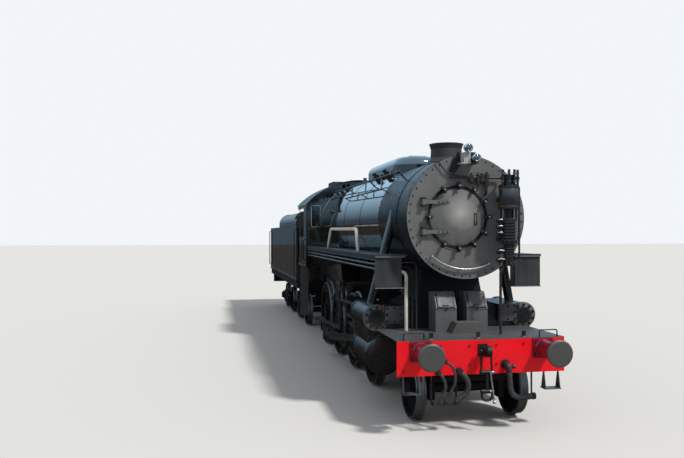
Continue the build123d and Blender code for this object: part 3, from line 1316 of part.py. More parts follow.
def bogie(y_centre):
    """One tender bogie: bar side frames with axle boxes, coil springs and the bolster."""
    z = carrying_axle_z
    half = bogie_wheelbase / 2
    x = (wheel_outer_x + 32, wheel_outer_x + 112)
    top, low = z + 230, z - 190
    frame = outline((-half - 190, z + 70), (-half - 190, z + 130), (-half + 150, z + 130),
                    (-330, top), (330, top),
                    (half - 150, z + 130), (half + 190, z + 130), (half + 190, z + 70), (half - 180, z + 60),
                    (330, top - 80), (-330, top - 80), (-half + 180, z + 60))
    frame += outline((-half - 170, z - 120), (-half + 170, z - 120), (-330, low),
                     (330, low), (half - 170, z - 120),
                     (half + 170, z - 120), (half + 170, z - 80), (half - 160,
                                                                   z - 80), (320, low + 45), (-320, low + 45),
                     (-half + 160, z - 80), (-half - 170, z - 80))
    for u in (-half, half):
        frame += rectangle((u - 130, u + 130), (z - 100, z + 90))
    for u in (-300, 300):
        frame += rectangle((u - 30, u + 30), (low, top))
    plate = from_side(Pos(y_centre, 0) * frame, x)
    for u in (-half, half):
        plate += Pos(x[1] + 25, y_centre + u, z) * Box(60, 190, 190)
        plate -= bar_x(carrying_axle_r + running_gap, (x[0] - 5, x[1] + 20), y_centre + u, z)
    for u in (-150, 0, 150):
        plate += bar_z(55, sum(x) / 2, y_centre + u, (low + 20, top - 120))
    truck = both(plate)
    truck += block((-x[1], x[1]), (y_centre - 130, y_centre + 130), (top - 130, top - 40))
    truck += block((-420, 420), (y_centre - 160, y_centre + 160), (top - 130, bolster_top_z - 40))
    truck += bar_z(190, 0, y_centre, (bolster_top_z - 60, bolster_top_z))
    truck -= bar_z(king_pin_r + running_gap, 0, y_centre, (bolster_top_z - 123, bolster_top_z + 1))
    return truck


def tender_wheelset(y):
    axle = bar_x(carrying_axle_r, (-wheel_outer_x - 115, wheel_outer_x + 115), y, carrying_axle_z)
    return axle + carrying_wheelset(y)


def pony_wheelset(y):
    axle = bar_x(carrying_axle_r, (-wheel_outer_x, wheel_outer_x), y, carrying_axle_z)
    return axle + carrying_wheelset(y)


def drawbar():
    """The bar from the tender to the pin in the engine's drag box."""
    y1 = tender_front_y + 200
    bar = block((-70, 70), (draw_pin_y, y1), (draw_z, draw_z + draw_height))
    bar += bar_z(95, 0, draw_pin_y, (draw_z, draw_z + draw_height))
    bar += block((-300, 300), (y1 - 60, y1), (draw_z, tender_deck_z - 14))
    return bar - bar_z(draw_pin_r + running_gap, 0, draw_pin_y, (draw_z - 5, draw_z + draw_height + 5))


def hatch_lid():
    """The round lid of the water filler, with the eye of its hinge."""
    y, z = hatch_y, tank_top_z - tank_step + hatch_height
    lid = turned_lid([(0, 2), (hatch_r + 12, 2), (hatch_r + 12, 16), (hatch_r - 60, 34), (0, 40)])
    lid = Pos(0, y, z) * lid + block((-50, 50), (y + hatch_r - 20, y + hatch_r + 40), (z + 2, z + 18))
    lid += bar_x(16, (-50, 50), y + hatch_r + 50,
                 z + 10) + block((-50, 50), (y + hatch_r + 20, y + hatch_r + 50), (z + 2, z + 18))
    lid += tube([(-60, y - 60, z + 30), (-60, y - 60, z + 80), (60, y - 60, z + 80), (60, y - 60, z + 30)],
                10, 20)
    return lid - bar_x(9, (-60, 60), y + hatch_r + 50, z + 10)


def turned_lid(points):
    return revolve(make_face(Polyline(*[(r, 0, d) for r, d in points], close=True)), Axis.Z)


def tender_fittings():
    """The filler's neck and hinge, the ladder, rails and steps of the tender."""
    y, z0 = hatch_y, tank_top_z - tank_step
    z = z0 + hatch_height
    parts = bar_z(hatch_r, 0, y, (z0, z)) - bar_z(hatch_r - 10, 0, y, (z0 - 5, z + 5))
    for x in (-66, 66):
        ear = outline((y + hatch_r + 30, z0), (y + hatch_r + 80, z0),
                      (y + hatch_r + 68, z + 24), (y + hatch_r + 34, z + 24))
        parts += from_side(ear, sorted((x, x * 0.8)))
    parts += bar_x(8, (-60, 60), y + hatch_r + 50, z + 10)
    back = rear_beam_y - 60
    for x in (-240, 240):
        parts += block((x - 8, x + 8), (back, back + 50), (tank_bottom_z + 60, z0 + 90))
    for i in range(5):
        parts += bar_x(11, (-240, 240), back + 40, tank_bottom_z + 200 + i * 290)
    w = tender_half_width
    for y, z1, z2 in ((tender_front_y + 70, tank_bottom_z + 150, tank_top_z - 500),
                      (back - 90, tank_bottom_z + 150, z0 - 120)):
        parts += both(tube([(w, y, z1), (w + 50, y, z1), (w + 50, y, z2), (w, y, z2)], 13, 30))
    y0, low = tender_front_y + 60, tender_deck_z - 14
    for side in (-1, 1):
        for z in step_zs[:2]:
            parts += block(sorted((side * 1080, side * 1270)), (y0, y0 + 260), (z, z + 10))
            parts += block(sorted((side * 1080, side * 1088)), (y0, y0 + 260), (z, z + 90))
        for y, end in ((y0, tender_deck_z - 180), (y0 + 250, low)):
            parts += block(sorted((side * 1088, side * 1180)), (y, y + 10), (step_zs[0], end))
    return parts


def build():
    save("main_frame", main_frame())
    save("axle_springs", axle_springs())
    save("brake_gear", brake_gear())
    save("pony_truck", pony_truck())
    save("pony_wheelset", pony_wheelset(pony_axle_y))
    for i, y in enumerate(driver_ys):
        save(f"driving_wheelset_{i + 1}", driving_wheelset(y))
    for name, side, degrees in sides:
        save(f"coupling_rod_{name}", on_side(coupling_rod(degrees), side))
        save(f"main_rod_{name}", on_side(main_rod(degrees), side))
        save(f"crosshead_{name}", on_side(crosshead(degrees), side))
        save(f"valve_gear_{name}", on_side(valve_gear(degrees), side))
    save("slide_bars", both(guides()))
    save("guide_yoke", both(guide_yoke()))
    save("cylinders", cylinders())
    save("steam_pipes", steam_pipes())
    save("smokebox", smokebox())
    save("smokebox_fittings", smokebox_fittings())
    save("smokebox_door", smokebox_door())
    save("chimney", chimney())
    save("boiler", boiler())
    save("ashpan", ashpan())
    save("dome_casing", dome_casing())
    save("air_pump", air_pump())
    save("headlamps", headlamps())
    save("handrails", handrails())
    save("front_pipework", front_pipework())
    save("front_hoses", front_hoses())
    save("lagged_pipes", lagged_pipes())
    save("running_boards", running_boards())
    save("cooling_pipes", cooling_pipes())
    save("cab_shell", cab_shell())
    save("cab_windows", cab_windows())
    save("cab_roof", cab_roof())
    save("cab_floor", cab_floor())
    save("cab_fittings", cab_fittings())
    save("front_beam", front_beam())
    save("front_deck", front_deck())
    save("front_buffers", both(buffer(buffer_half_spacing, 0, beam_front_y)))
    save("front_coupling", drawhook(beam_front_y, -1))
    save("tool_boxes", tool_box(box_xs[0]) + tool_box(box_xs[1]))
    save("tool_box_lid_left", tool_box_lid(box_xs[0]))
    save("tool_box_lid_right", tool_box_lid(box_xs[1]))
    save("tender_frame", tender_frame() + drawbar())
    save("tender_tank", tender_tank())
    save("tender_fittings", tender_fittings())
    save("tender_hatch_lid", hatch_lid())
    save("rear_buffers", both(buffer(buffer_half_spacing, length, rear_beam_y)))
    save("rear_coupling", drawhook(rear_beam_y, 1))
    for name, y in zip(("front", "rear"), bogie_ys):
        save(f"bogie_{name}", bogie(y))
    for i, y in enumerate(tender_axle_ys):
        save(f"tender_wheelset_{i + 1}", tender_wheelset(y))


build()
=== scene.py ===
import math

import bmesh
import bpy
from mathutils import Matrix, Vector


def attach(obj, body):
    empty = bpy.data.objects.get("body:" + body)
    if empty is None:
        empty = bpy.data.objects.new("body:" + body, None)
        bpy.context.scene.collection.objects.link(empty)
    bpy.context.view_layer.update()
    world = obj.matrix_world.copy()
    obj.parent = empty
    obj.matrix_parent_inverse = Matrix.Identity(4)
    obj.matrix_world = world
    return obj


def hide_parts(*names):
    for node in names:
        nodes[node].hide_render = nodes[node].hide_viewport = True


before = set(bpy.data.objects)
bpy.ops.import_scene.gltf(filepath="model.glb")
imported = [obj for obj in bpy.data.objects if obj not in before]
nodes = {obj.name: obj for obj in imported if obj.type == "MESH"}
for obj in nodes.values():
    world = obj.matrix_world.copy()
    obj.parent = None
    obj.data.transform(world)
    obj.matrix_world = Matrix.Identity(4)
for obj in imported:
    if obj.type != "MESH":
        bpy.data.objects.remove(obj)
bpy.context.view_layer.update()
scene = bpy.context.scene
scene.view_settings.view_transform = "Standard"

# The camera stands to the left of the engine, just above eye height and 8.42 m ahead of the buffer
# faces, with the tilt, the turn and the focal length that the photograph shows.
overall_length = 18.593
camera_x, camera_distance, camera_z = -3.605, -8.42, 2.637
camera_tilt, camera_turn = math.radians(90.38), math.radians(-10.74)
photo_width, photo_focal, film_width = 684, 705, 36
far_clip = 300


def behind(distance):
    """Y of a place, given as its distance behind the faces of the front buffers."""
    return distance - overall_length / 2


camera = bpy.data.objects.new("camera", bpy.data.cameras.new("camera"))
camera.location = (camera_x, behind(camera_distance), camera_z)
camera.rotation_euler = (camera_tilt, 0, camera_turn)
camera.data.lens = photo_focal / photo_width * film_width
camera.data.clip_end = far_clip
scene.collection.objects.link(camera)
scene.camera = camera

# A pale studio floor under pale light from all round, and one soft sun from ahead and to the right,
# as the shadows on the red beam show. Glossy paint sees a bluer light, dim near the ground and bright
# overhead, and a dark floor, as in the photograph.
floor_size, floor_rough = 150, 0.85
floor_pale, floor_in_gloss = (0.62, 0.62, 0.61, 1), (0.03, 0.028, 0.026, 1)
sky_pale, sky_in_gloss = (0.93, 0.96, 1.0, 1), (0.50, 0.77, 1.0, 1)
light_on_engine, backdrop_light = 0.55, 0.95
gloss_dim, gloss_bright = 0.10, 1.2
gloss_dim_below, gloss_bright_above = 0.02, 0.34
sun_strength, sun_softness, sun_colour = 3.2, math.radians(6), (1.0, 0.97, 0.92)
sun_tilt, sun_turn = math.radians(42), math.radians(38)


def plug(tree, value, socket):
    """Sets a number or a colour on a socket, or links another socket to it."""
    if isinstance(value, (int, float, tuple)):
        socket.default_value = value
    else:
        tree.links.new(value, socket)


def combined(tree, operation, a, b):
    """Two values put together by one sum."""
    node = tree.nodes.new("ShaderNodeMath")
    node.operation = operation
    for socket, value in zip(node.inputs, (a, b)):
        plug(tree, value, socket)
    return node.outputs[0]


def ranged(tree, value, low, high, to_low=0.0, to_high=1.0):
    """A value stretched from one range to another and held inside it."""
    node = tree.nodes.new("ShaderNodeMapRange")
    for label, number in (("Value", value), ("From Min", low), ("From Max", high),
                          ("To Min", to_low), ("To Max", to_high)):
        plug(tree, number, node.inputs[label])
    return node.outputs["Result"]


def mixed(tree, mask, a, b):
    """Two colours mixed by a mask."""
    node = tree.nodes.new("ShaderNodeMix")
    node.data_type = "RGBA"
    plug(tree, mask, node.inputs["Factor"])
    for label, value in (("A", a), ("B", b)):
        plug(tree, value, [s for s in node.inputs if s.name == label and s.type == "RGBA"][0])
    return [s for s in node.outputs if s.type == "RGBA"][0]


floor_shape = bmesh.new()
bmesh.ops.create_grid(floor_shape, x_segments=1, y_segments=1, size=floor_size)
floor_mesh = bpy.data.meshes.new("studio_floor")
floor_shape.to_mesh(floor_mesh)
floor_shape.free()
studio_floor = bpy.data.objects.new("studio_floor", floor_mesh)
scene.collection.objects.link(studio_floor)
floor_paint = bpy.data.materials.new("floor_paint")
floor_paint.use_nodes = True
floor_tree = floor_paint.node_tree
floor_shader = floor_tree.nodes["Principled BSDF"]
floor_ray = floor_tree.nodes.new("ShaderNodeLightPath").outputs
floor_shade = mixed(floor_tree, floor_ray["Is Glossy Ray"], floor_pale, floor_in_gloss)
floor_tree.links.new(floor_shade, floor_shader.inputs["Base Color"])
floor_shader.inputs["Specular IOR Level"].default_value = 0.0
floor_shader.inputs["Roughness"].default_value = floor_rough
floor_mesh.materials.append(floor_paint)

sky = bpy.data.worlds.new("studio")
sky.use_nodes = True
sky_tree = sky.node_tree
sky_ray = sky_tree.nodes.new("ShaderNodeLightPath").outputs
aim = sky_tree.nodes.new("ShaderNodeSeparateXYZ")
sky_tree.links.new(sky_tree.nodes.new("ShaderNodeTexCoord").outputs["Generated"], aim.inputs["Vector"])
seen = combined(sky_tree, "MAXIMUM", sky_ray["Is Camera Ray"], sky_ray["Is Transmission Ray"])
strength = sky_tree.nodes.new("ShaderNodeMix")
plug(sky_tree, sky_ray["Is Glossy Ray"], strength.inputs["Factor"])
plug(sky_tree, ranged(sky_tree, seen, 0.0, 1.0, light_on_engine, backdrop_light), strength.inputs["A"])
plug(sky_tree, ranged(sky_tree, aim.outputs["Z"], gloss_dim_below, gloss_bright_above, gloss_dim,
                      gloss_bright), strength.inputs["B"])
sky_shade = mixed(sky_tree, sky_ray["Is Glossy Ray"], sky_pale, sky_in_gloss)
sky_tree.links.new(sky_shade, sky_tree.nodes["Background"].inputs["Color"])
sky_tree.links.new(strength.outputs["Result"], sky_tree.nodes["Background"].inputs["Strength"])
scene.world = sky

sun = bpy.data.objects.new("sun", bpy.data.lights.new("sun", "SUN"))
sun.data.energy = sun_strength
sun.data.angle = sun_softness
sun.data.color = sun_colour
sun.rotation_euler = (sun_tilt, 0, sun_turn)
scene.collection.objects.link(sun)

# Paint that has been out in the weather covers nearly every plate of the engine. One group lays grime
# over it in patches, runs and specks, and gives the unevenness of the plate under it. The frame, the
# springs, the brake gear, the guide yoke and the ashpan wear it first, in dull black.
run_stretch, run_scale, speck_scale, wave_scale = (7.0, 7.0, 0.9), 2.2, 55.0, 1.6
patch_share, run_share, speck_share = 0.6, 0.4, 0.18
clean_below, grimy_above = 0.46, 0.78
speck_height = 0.05
lacquer_rough, lacquer_ior = 0.04, 1.9


def shader_group(name, inputs, outputs):
    """A new shader node group with its sockets, and its input and output nodes."""
    group = bpy.data.node_groups.new(name, "ShaderNodeTree")
    for label, kind, value in inputs:
        socket = group.interface.new_socket(name=label, in_out="INPUT", socket_type=kind)
        socket.default_value = value
    for label, kind in outputs:
        group.interface.new_socket(name=label, in_out="OUTPUT", socket_type=kind)
    start = group.nodes.new("NodeGroupInput")
    end = group.nodes.new("NodeGroupOutput")
    return group, start.outputs, end.inputs


def noise(tree, vector, scale, detail, rough):
    """A noise texture on a vector, whose scale is a number or a socket."""
    texture = tree.nodes.new("ShaderNodeTexNoise")
    for label, value in (("Vector", vector), ("Scale", scale), ("Detail", detail), ("Roughness", rough)):
        plug(tree, value, texture.inputs[label])
    return texture.outputs["Fac"]


weathering, given, result = shader_group(
    "weathering",
    [("Paint", "NodeSocketColor", (0.1, 0.1, 0.1, 1)), ("Grime", "NodeSocketColor", (0.05, 0.045, 0.04, 1)),
     ("Cover", "NodeSocketFloat", 0.5), ("Patch Scale", "NodeSocketFloat", 3.0),
     ("Smooth", "NodeSocketFloat", 0.2), ("Rough", "NodeSocketFloat", 0.6)],
    [("Color", "NodeSocketColor"), ("Roughness", "NodeSocketFloat"), ("Height", "NodeSocketFloat")])
place = weathering.nodes.new("ShaderNodeTexCoord").outputs["Object"]
stretched = weathering.nodes.new("ShaderNodeMapping")
stretched.inputs["Scale"].default_value = run_stretch
weathering.links.new(place, stretched.inputs["Vector"])
patches = noise(weathering, place, given["Patch Scale"], detail=6.0, rough=0.62)
runs = noise(weathering, stretched.outputs["Vector"], run_scale, detail=4.0, rough=0.7)
specks = noise(weathering, place, speck_scale, detail=3.0, rough=0.7)
waves = noise(weathering, place, wave_scale, detail=2.0, rough=0.4)
marks = combined(weathering, "ADD", combined(weathering, "MULTIPLY", patches, patch_share),
                 combined(weathering, "MULTIPLY", runs, run_share))
marks = combined(weathering, "ADD", marks, combined(weathering, "MULTIPLY", specks, speck_share))
grimy = ranged(weathering, marks, clean_below, grimy_above)
covered = combined(weathering, "MULTIPLY", grimy, given["Cover"])
speck_bumps = combined(weathering, "MULTIPLY", specks, speck_height)
for label, value in (
        ("Color", mixed(weathering, covered, given["Paint"], given["Grime"])),
        ("Roughness", ranged(weathering, grimy, 0.0, 1.0, given["Smooth"], given["Rough"])),
        ("Height", combined(weathering, "ADD", waves, speck_bumps))):
    plug(weathering, value, result[label])


def lay_paint(layer, paint, grime, cover, patch, smooth, rough):
    """Sets a layer of the weathering group to one paint and its grime."""
    layer.node_tree = weathering
    for label, value in (("Paint", (*paint, 1)), ("Grime", (*grime, 1)), ("Cover", cover),
                         ("Patch Scale", patch), ("Smooth", smooth), ("Rough", rough)):
        layer.inputs[label].default_value = value


def painted(name, paint, grime, cover, patch, smooth, rough, wave=0.004, coat=0.0, metal=0.0, shine=0.3):
    """A painted or bare metal finish made of the weathering group and one shader."""
    finish = bpy.data.materials.new(name)
    finish.use_nodes = True
    tree = finish.node_tree
    shader = tree.nodes["Principled BSDF"]
    layer = tree.nodes.new("ShaderNodeGroup")
    layer.name = "weathering"
    lay_paint(layer, paint, grime, cover, patch, smooth, rough)
    bump = tree.nodes.new("ShaderNodeBump")
    bump.inputs["Strength"].default_value = 1.0
    bump.inputs["Distance"].default_value = wave
    tree.links.new(layer.outputs["Color"], shader.inputs["Base Color"])
    tree.links.new(layer.outputs["Roughness"], shader.inputs["Roughness"])
    tree.links.new(layer.outputs["Height"], bump.inputs["Height"])
    tree.links.new(bump.outputs["Normal"], shader.inputs["Normal"])
    for label, value in (("Metallic", metal), ("Coat Weight", coat), ("Coat Roughness", lacquer_rough),
                         ("Coat IOR", lacquer_ior), ("Specular IOR Level", shine)):
        shader.inputs[label].default_value = value
    return finish


def wear(finish, *names):
    """Gives CAD nodes a finish."""
    for name in names:
        node = nodes[name]
        if not node.data.materials:
            node.data.materials.append(finish)
        for slot in node.material_slots:
            slot.material = finish


frame_paint = dict(paint=(0.007, 0.007, 0.008), grime=(0.020, 0.016, 0.013), cover=0.8, patch=3.2,
                   smooth=0.40, rough=0.75)
frame_black = painted("frame_black", **frame_paint)
wear(frame_black, "main_frame", "axle_springs", "brake_gear", "guide_yoke", "ashpan")

# Driving and carrying wheels: cast centres painted black, with rolled steel tyres shrunk on. The tyre
# is told from the centre by its distance from the axle. The trucks, the tender's frame and its
# coupling round them are dull black.
wheel_paint = dict(paint=(0.006, 0.006, 0.007), grime=(0.020, 0.016, 0.013), cover=0.8, patch=4.0,
                   smooth=0.4, rough=0.75, shine=0.15)
tyre_steel, tyre_metal, tyre_blend = (0.26, 0.255, 0.245, 1), 0.9, 0.002
driver_z, driver_tyre_r = 0.752, 0.700
carrier_z, carrier_tyre_r = 0.447, 0.398
driver_places = (3.610, 5.185, 6.760, 8.335)
tender_places = (11.790, 13.517, 15.263, 16.990)
pony_place = 1.240


def reach(tree, centre, axes):
    """The distance from a centre along two axes, and the vector that it is measured on."""
    centred = tree.nodes.new("ShaderNodeMapping")
    centred.inputs["Location"].default_value = [-value for value in centre]
    tree.links.new(tree.nodes.new("ShaderNodeTexCoord").outputs["Object"], centred.inputs["Vector"])
    split = tree.nodes.new("ShaderNodeSeparateXYZ")
    tree.links.new(centred.outputs["Vector"], split.inputs["Vector"])
    squares = [combined(tree, "MULTIPLY", split.outputs[axis], split.outputs[axis]) for axis in axes]
    return combined(tree, "SQRT", combined(tree, "ADD", *squares), 0.0), centred.outputs["Vector"]


def wear_tyres(wheelset, name, distance, axle_z, tyre_r):
    """Gives one wheelset black centres, and steel tyres outside a radius."""
    finish = painted(name, **wheel_paint)
    tree = finish.node_tree
    shader, layer = tree.nodes["Principled BSDF"], tree.nodes["weathering"]
    radius, _ = reach(tree, (0, behind(distance), axle_z), "YZ")
    tyre = ranged(tree, radius, tyre_r - tyre_blend, tyre_r + tyre_blend)
    tree.links.new(mixed(tree, tyre, layer.outputs["Color"], tyre_steel), shader.inputs["Base Color"])
    tree.links.new(combined(tree, "MULTIPLY", tyre, tyre_metal), shader.inputs["Metallic"])
    wear(finish, wheelset)


for i, distance in enumerate(driver_places, 1):
    wear_tyres(f"driving_wheelset_{i}", f"driving_wheel_{i}", distance, driver_z, driver_tyre_r)
wear_tyres("pony_wheelset", "pony_wheel", pony_place, carrier_z, carrier_tyre_r)
for i, distance in enumerate(tender_places, 1):
    wear_tyres(f"tender_wheelset_{i}", f"tender_wheel_{i}", distance, carrier_z, carrier_tyre_r)
wear(frame_black, "pony_truck", "bogie_front", "bogie_rear", "tender_frame", "rear_coupling")

# Rods, crossheads, slide bars and valve gear: forged steel, ground bright and kept oiled. An oil cup
# and two nuts stand on each bearing of the coupling rods.
rod_steel = painted("rod_steel", (0.20, 0.198, 0.19), (0.03, 0.024, 0.018), cover=0.8, patch=5.0,
                    smooth=0.25, rough=0.5, wave=0.001, metal=0.85)
for side in ("left", "right"):
    wear(rod_steel, f"coupling_rod_{side}", f"main_rod_{side}", f"crosshead_{side}", f"valve_gear_{side}")
wear(rod_steel, "slide_bars")
forward, backward, up, down = (0, -1, 0), (0, 1, 0), (0, 0, 1), (0, 0, -1)
bolt_taper, bolt_lift = 0.84, 0.45
weld = 1e-6
sharp_edge = math.radians(38)


def join_to(shape, part):
    """Moves everything in a part into the shape."""
    moved = bpy.data.meshes.new("moved")
    part.to_mesh(moved)
    part.free()
    shape.from_mesh(moved)
    bpy.data.meshes.remove(moved)


def add_bolts(shape, places, out, radius, height, sides=6):
    """Bolt heads that stand at the places, all facing one way."""
    turn = Vector(up).rotation_difference(Vector(out)).to_matrix().to_4x4()
    part = bmesh.new()
    for spot in places:
        middle = Matrix.Translation(Vector(spot) + Vector(out).normalized() * height * bolt_lift)
        bmesh.ops.create_cone(part, cap_ends=True, segments=sides, radius1=radius,
                              radius2=radius * bolt_taper, depth=height, matrix=middle @ turn)
    join_to(shape, part)


def add_turned(shape, profile, place, out, steps=24):
    """A profile of radius and height spun round the axis that points out of a place, closed at its back."""
    if profile[0][0] and profile[-1][0]:
        profile = [*profile, profile[0]]
    elif profile[-1][0]:
        profile = [*profile, (0, profile[-1][1])]
    elif profile[0][0]:
        profile = [(0, profile[0][1]), *profile]
    part = bmesh.new()
    corners = [part.verts.new((r, 0, h)) for r, h in profile]
    edges = [part.edges.new(pair) for pair in zip(corners, corners[1:])]
    bmesh.ops.spin(part, geom=corners + edges, cent=(0, 0, 0), axis=up, dvec=(0, 0, 0),
                   angle=math.tau, steps=steps, use_merge=True, use_duplicate=False)
    bmesh.ops.remove_doubles(part, verts=part.verts, dist=weld)
    turn = Vector(up).rotation_difference(Vector(out)).to_matrix().to_4x4()
    bmesh.ops.transform(part, matrix=Matrix.Translation(place) @ turn, verts=part.verts)
    join_to(shape, part)


def finish_piece(name, shape, finish, body):
    """Makes the shape an object that wears a finish and rides on a body."""
    bmesh.ops.recalc_face_normals(shape, faces=shape.faces)
    mesh = bpy.data.meshes.new(name)
    shape.to_mesh(mesh)
    shape.free()
    mesh.shade_smooth()
    mesh.set_sharp_from_angle(angle=sharp_edge)
    mesh.materials.append(finish)
    piece = bpy.data.objects.new(name, mesh)
    scene.collection.objects.link(piece)
    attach(piece, body)


crank = 0.330
cup_x, cup_rise = 0.891, 0.148
oil_cup = [(0, 0.0), (0.022, 0.0), (0.022, 0.03), (0.013, 0.042), (0.013, 0.055), (0, 0.058)]
nut_x, nut_rise, nut_apart, nut_size = 0.925, 0.105, 0.031, 0.012
for side, sign, degrees in (("left", -1, -90), ("right", 1, 0)):
    pin_z = driver_z + crank * math.sin(math.radians(degrees))
    cups = bmesh.new()
    for distance in driver_places:
        y = behind(distance) + crank * math.cos(math.radians(degrees))
        add_turned(cups, oil_cup, (sign * cup_x, y, pin_z + cup_rise), up, steps=12)
        for shift in (-nut_apart, nut_apart):
            add_bolts(cups, [(sign * nut_x, y + shift, pin_z + nut_rise)], (sign, 0, 0), nut_size, nut_size)
    finish_piece(f"coupling_rod_oil_cups_{side}", cups, rod_steel, f"coupling_rod_{side}")

# Cylinders and valve chests: iron castings under black paint, with covers held by rings of studs. The
# saddle between them is a darker, duller black. The valve covers are bare grey iron, each with a dark
# star-shaped plate on its middle, painted shade for the hollow there; the cylinders' front covers are
# domed and painted.
cylinder_x, cylinder_z = 1.045, 0.830
valve_x, valve_z = 1.160, 1.390
saddle_half_width = 0.62
chest_paint = dict(paint=(0.012, 0.0125, 0.014), grime=(0.030, 0.028, 0.027), cover=0.7, patch=3.0,
                   smooth=0.18, rough=0.5)
saddle_paint = dict(paint=(0.003, 0.003, 0.004), grime=(0.012, 0.011, 0.010), cover=0.7, patch=3.0,
                    smooth=0.6, rough=0.9)
satin_black = painted("satin_black", **chest_paint, coat=0.3, shine=0.6)
cover_grey = painted("cover_grey", (0.092, 0.093, 0.094), (0.03, 0.028, 0.027), cover=0.7, patch=9.0,
                     smooth=0.4, rough=0.72, wave=0.002)
dark_line = painted("dark_line", (0.005, 0.005, 0.006), (0.012, 0.011, 0.010), cover=0.5, patch=9.0,
                    smooth=0.4, rough=0.7, wave=0.001)


def two_coats(name, coat, other, tests, shine=0.3, other_metal=0.0):
    """A finish that changes to another coat where the place passes every test of an axis against a value."""
    finish = painted(name, **coat, shine=shine)
    tree = finish.node_tree
    shader, layer = tree.nodes["Principled BSDF"], tree.nodes["weathering"]
    second = tree.nodes.new("ShaderNodeGroup")
    lay_paint(second, **other)
    split = tree.nodes.new("ShaderNodeSeparateXYZ")
    tree.links.new(tree.nodes.new("ShaderNodeTexCoord").outputs["Object"], split.inputs["Vector"])
    where = 1.0
    for axis, operation, value in tests:
        where = combined(tree, "MULTIPLY", combined(tree, operation, split.outputs[axis], value), where)
    tree.links.new(mixed(tree, where, layer.outputs["Color"], second.outputs["Color"]),
                   shader.inputs["Base Color"])
    tree.links.new(ranged(tree, where, 0.0, 1.0, layer.outputs["Roughness"], second.outputs["Roughness"]),
                   shader.inputs["Roughness"])
    if other_metal:
        tree.links.new(combined(tree, "MULTIPLY", where, other_metal), shader.inputs["Metallic"])
    return finish


def ring_places(x, y, z, radius, count, start=0.0):
    """Places round a circle that faces along the engine."""
    angles = [math.radians(start + i * 360 / count) for i in range(count)]
    return [(x + radius * math.cos(angle), y, z + radius * math.sin(angle)) for angle in angles]


def add_eased_block(shape, matrix, bevel):
    """A block placed, turned and sized by a matrix, with its edges eased."""
    made = bmesh.ops.create_cube(shape, size=1.0, matrix=matrix)
    if bevel:
        edges = list({e for v in made["verts"] for e in v.link_edges})
        bmesh.ops.bevel(shape, geom=edges, offset=bevel, offset_type="OFFSET", affect="EDGES", segments=2,
                        profile=0.5, material=-1)


def add_slab(shape, low, high, bevel=0.0):
    """A plate or bar between two corners, with its edges eased."""
    middle = [(a + b) / 2 for a, b in zip(low, high)]
    size = [b - a for a, b in zip(low, high)]
    add_eased_block(shape, Matrix.Translation(middle) @ Matrix.Diagonal((*size, 1)), bevel)


def add_plate(shape, corners, depth):
    """A flat outline through the corners, drawn back by a depth."""
    face = shape.faces.new([shape.verts.new(corner) for corner in corners])
    drawn = bmesh.ops.extrude_face_region(shape, geom=[face])["geom"]
    drawn_corners = [corner for corner in drawn if isinstance(corner, bmesh.types.BMVert)]
    bmesh.ops.translate(shape, verts=drawn_corners, vec=(0, depth, 0))


between_chests = [("X", "GREATER_THAN", -saddle_half_width), ("X", "LESS_THAN", saddle_half_width)]
wear(two_coats("cylinder_coat", chest_paint, saddle_paint, between_chests, shine=0.5), "cylinders")
studs = bmesh.new()
for sign in (-1, 1):
    for x, distance, z, ring_r, count, start, out, stud_r, height in (
            (valve_x, 1.724, valve_z, 0.158, 10, 18, forward, 0.021, 0.026),
            (valve_x, 2.755, valve_z, 0.158, 10, 18, backward, 0.016, 0.024),
            (cylinder_x, 2.735, cylinder_z, 0.255, 18, 10, backward, 0.016, 0.024)):
        ring = ring_places(sign * x, behind(distance), z, ring_r, count, start)
        add_bolts(studs, ring, out, stud_r, height)
    add_bolts(studs, [(sign * x, behind(1.708), z) for x, z in (
        (0.788, 1.335), (0.788, 1.532), (0.898, 1.335), (0.898, 1.532), (1.008, 1.335), (1.008, 1.532),
        (0.788, 1.435), (1.008, 1.435))], forward, radius=0.015, height=0.022)
finish_piece("cylinder_cover_studs", studs, dark_line, "engine")

valve_cover = [(0.078, -0.030), (0.078, -0.016), (0.082, -0.014), (0.120, -0.014), (0.124, -0.017),
               (0.188, -0.017), (0.1985, -0.024), (0.1985, -0.055)]
cylinder_dome = [(0.291, -0.020), (0.291, 0.004), (0.286, 0.012), (0.272, 0.017), (0.2, 0.029), (0.1, 0.036),
                 (0, 0.038)]
hollow_points, hollow_outer_r, hollow_inner_r, hollow_depth = 16, 0.117, 0.084, 0.025
covers, hollow_shades, domes = bmesh.new(), bmesh.new(), bmesh.new()
for sign in (-1, 1):
    add_turned(covers, valve_cover, (sign * valve_x, behind(1.706), valve_z), forward, steps=48)
    low, high = sorted((sign * 0.750, sign * 1.040))
    add_slab(covers, (low, behind(1.708), 1.302), (high, behind(1.722), 1.564), bevel=0.004)
    # A dark star-shaped plate on the middle of each valve cover: painted shade for the hollow there.
    star = [(hollow_outer_r if k % 2 else hollow_inner_r, k * math.tau / hollow_points)
            for k in range(hollow_points)]
    add_plate(hollow_shades, [(sign * valve_x + r * math.cos(a), behind(1.700), valve_z + r * math.sin(a))
                        for r, a in star], hollow_depth)
    add_turned(domes, cylinder_dome, (sign * cylinder_x, behind(1.745), cylinder_z), forward, steps=56)
finish_piece("valve_covers", covers, cover_grey, "engine")
finish_piece("valve_cover_hollow_shades", hollow_shades, dark_line, "engine")
finish_piece("cylinder_front_domes", domes, satin_black, "engine")

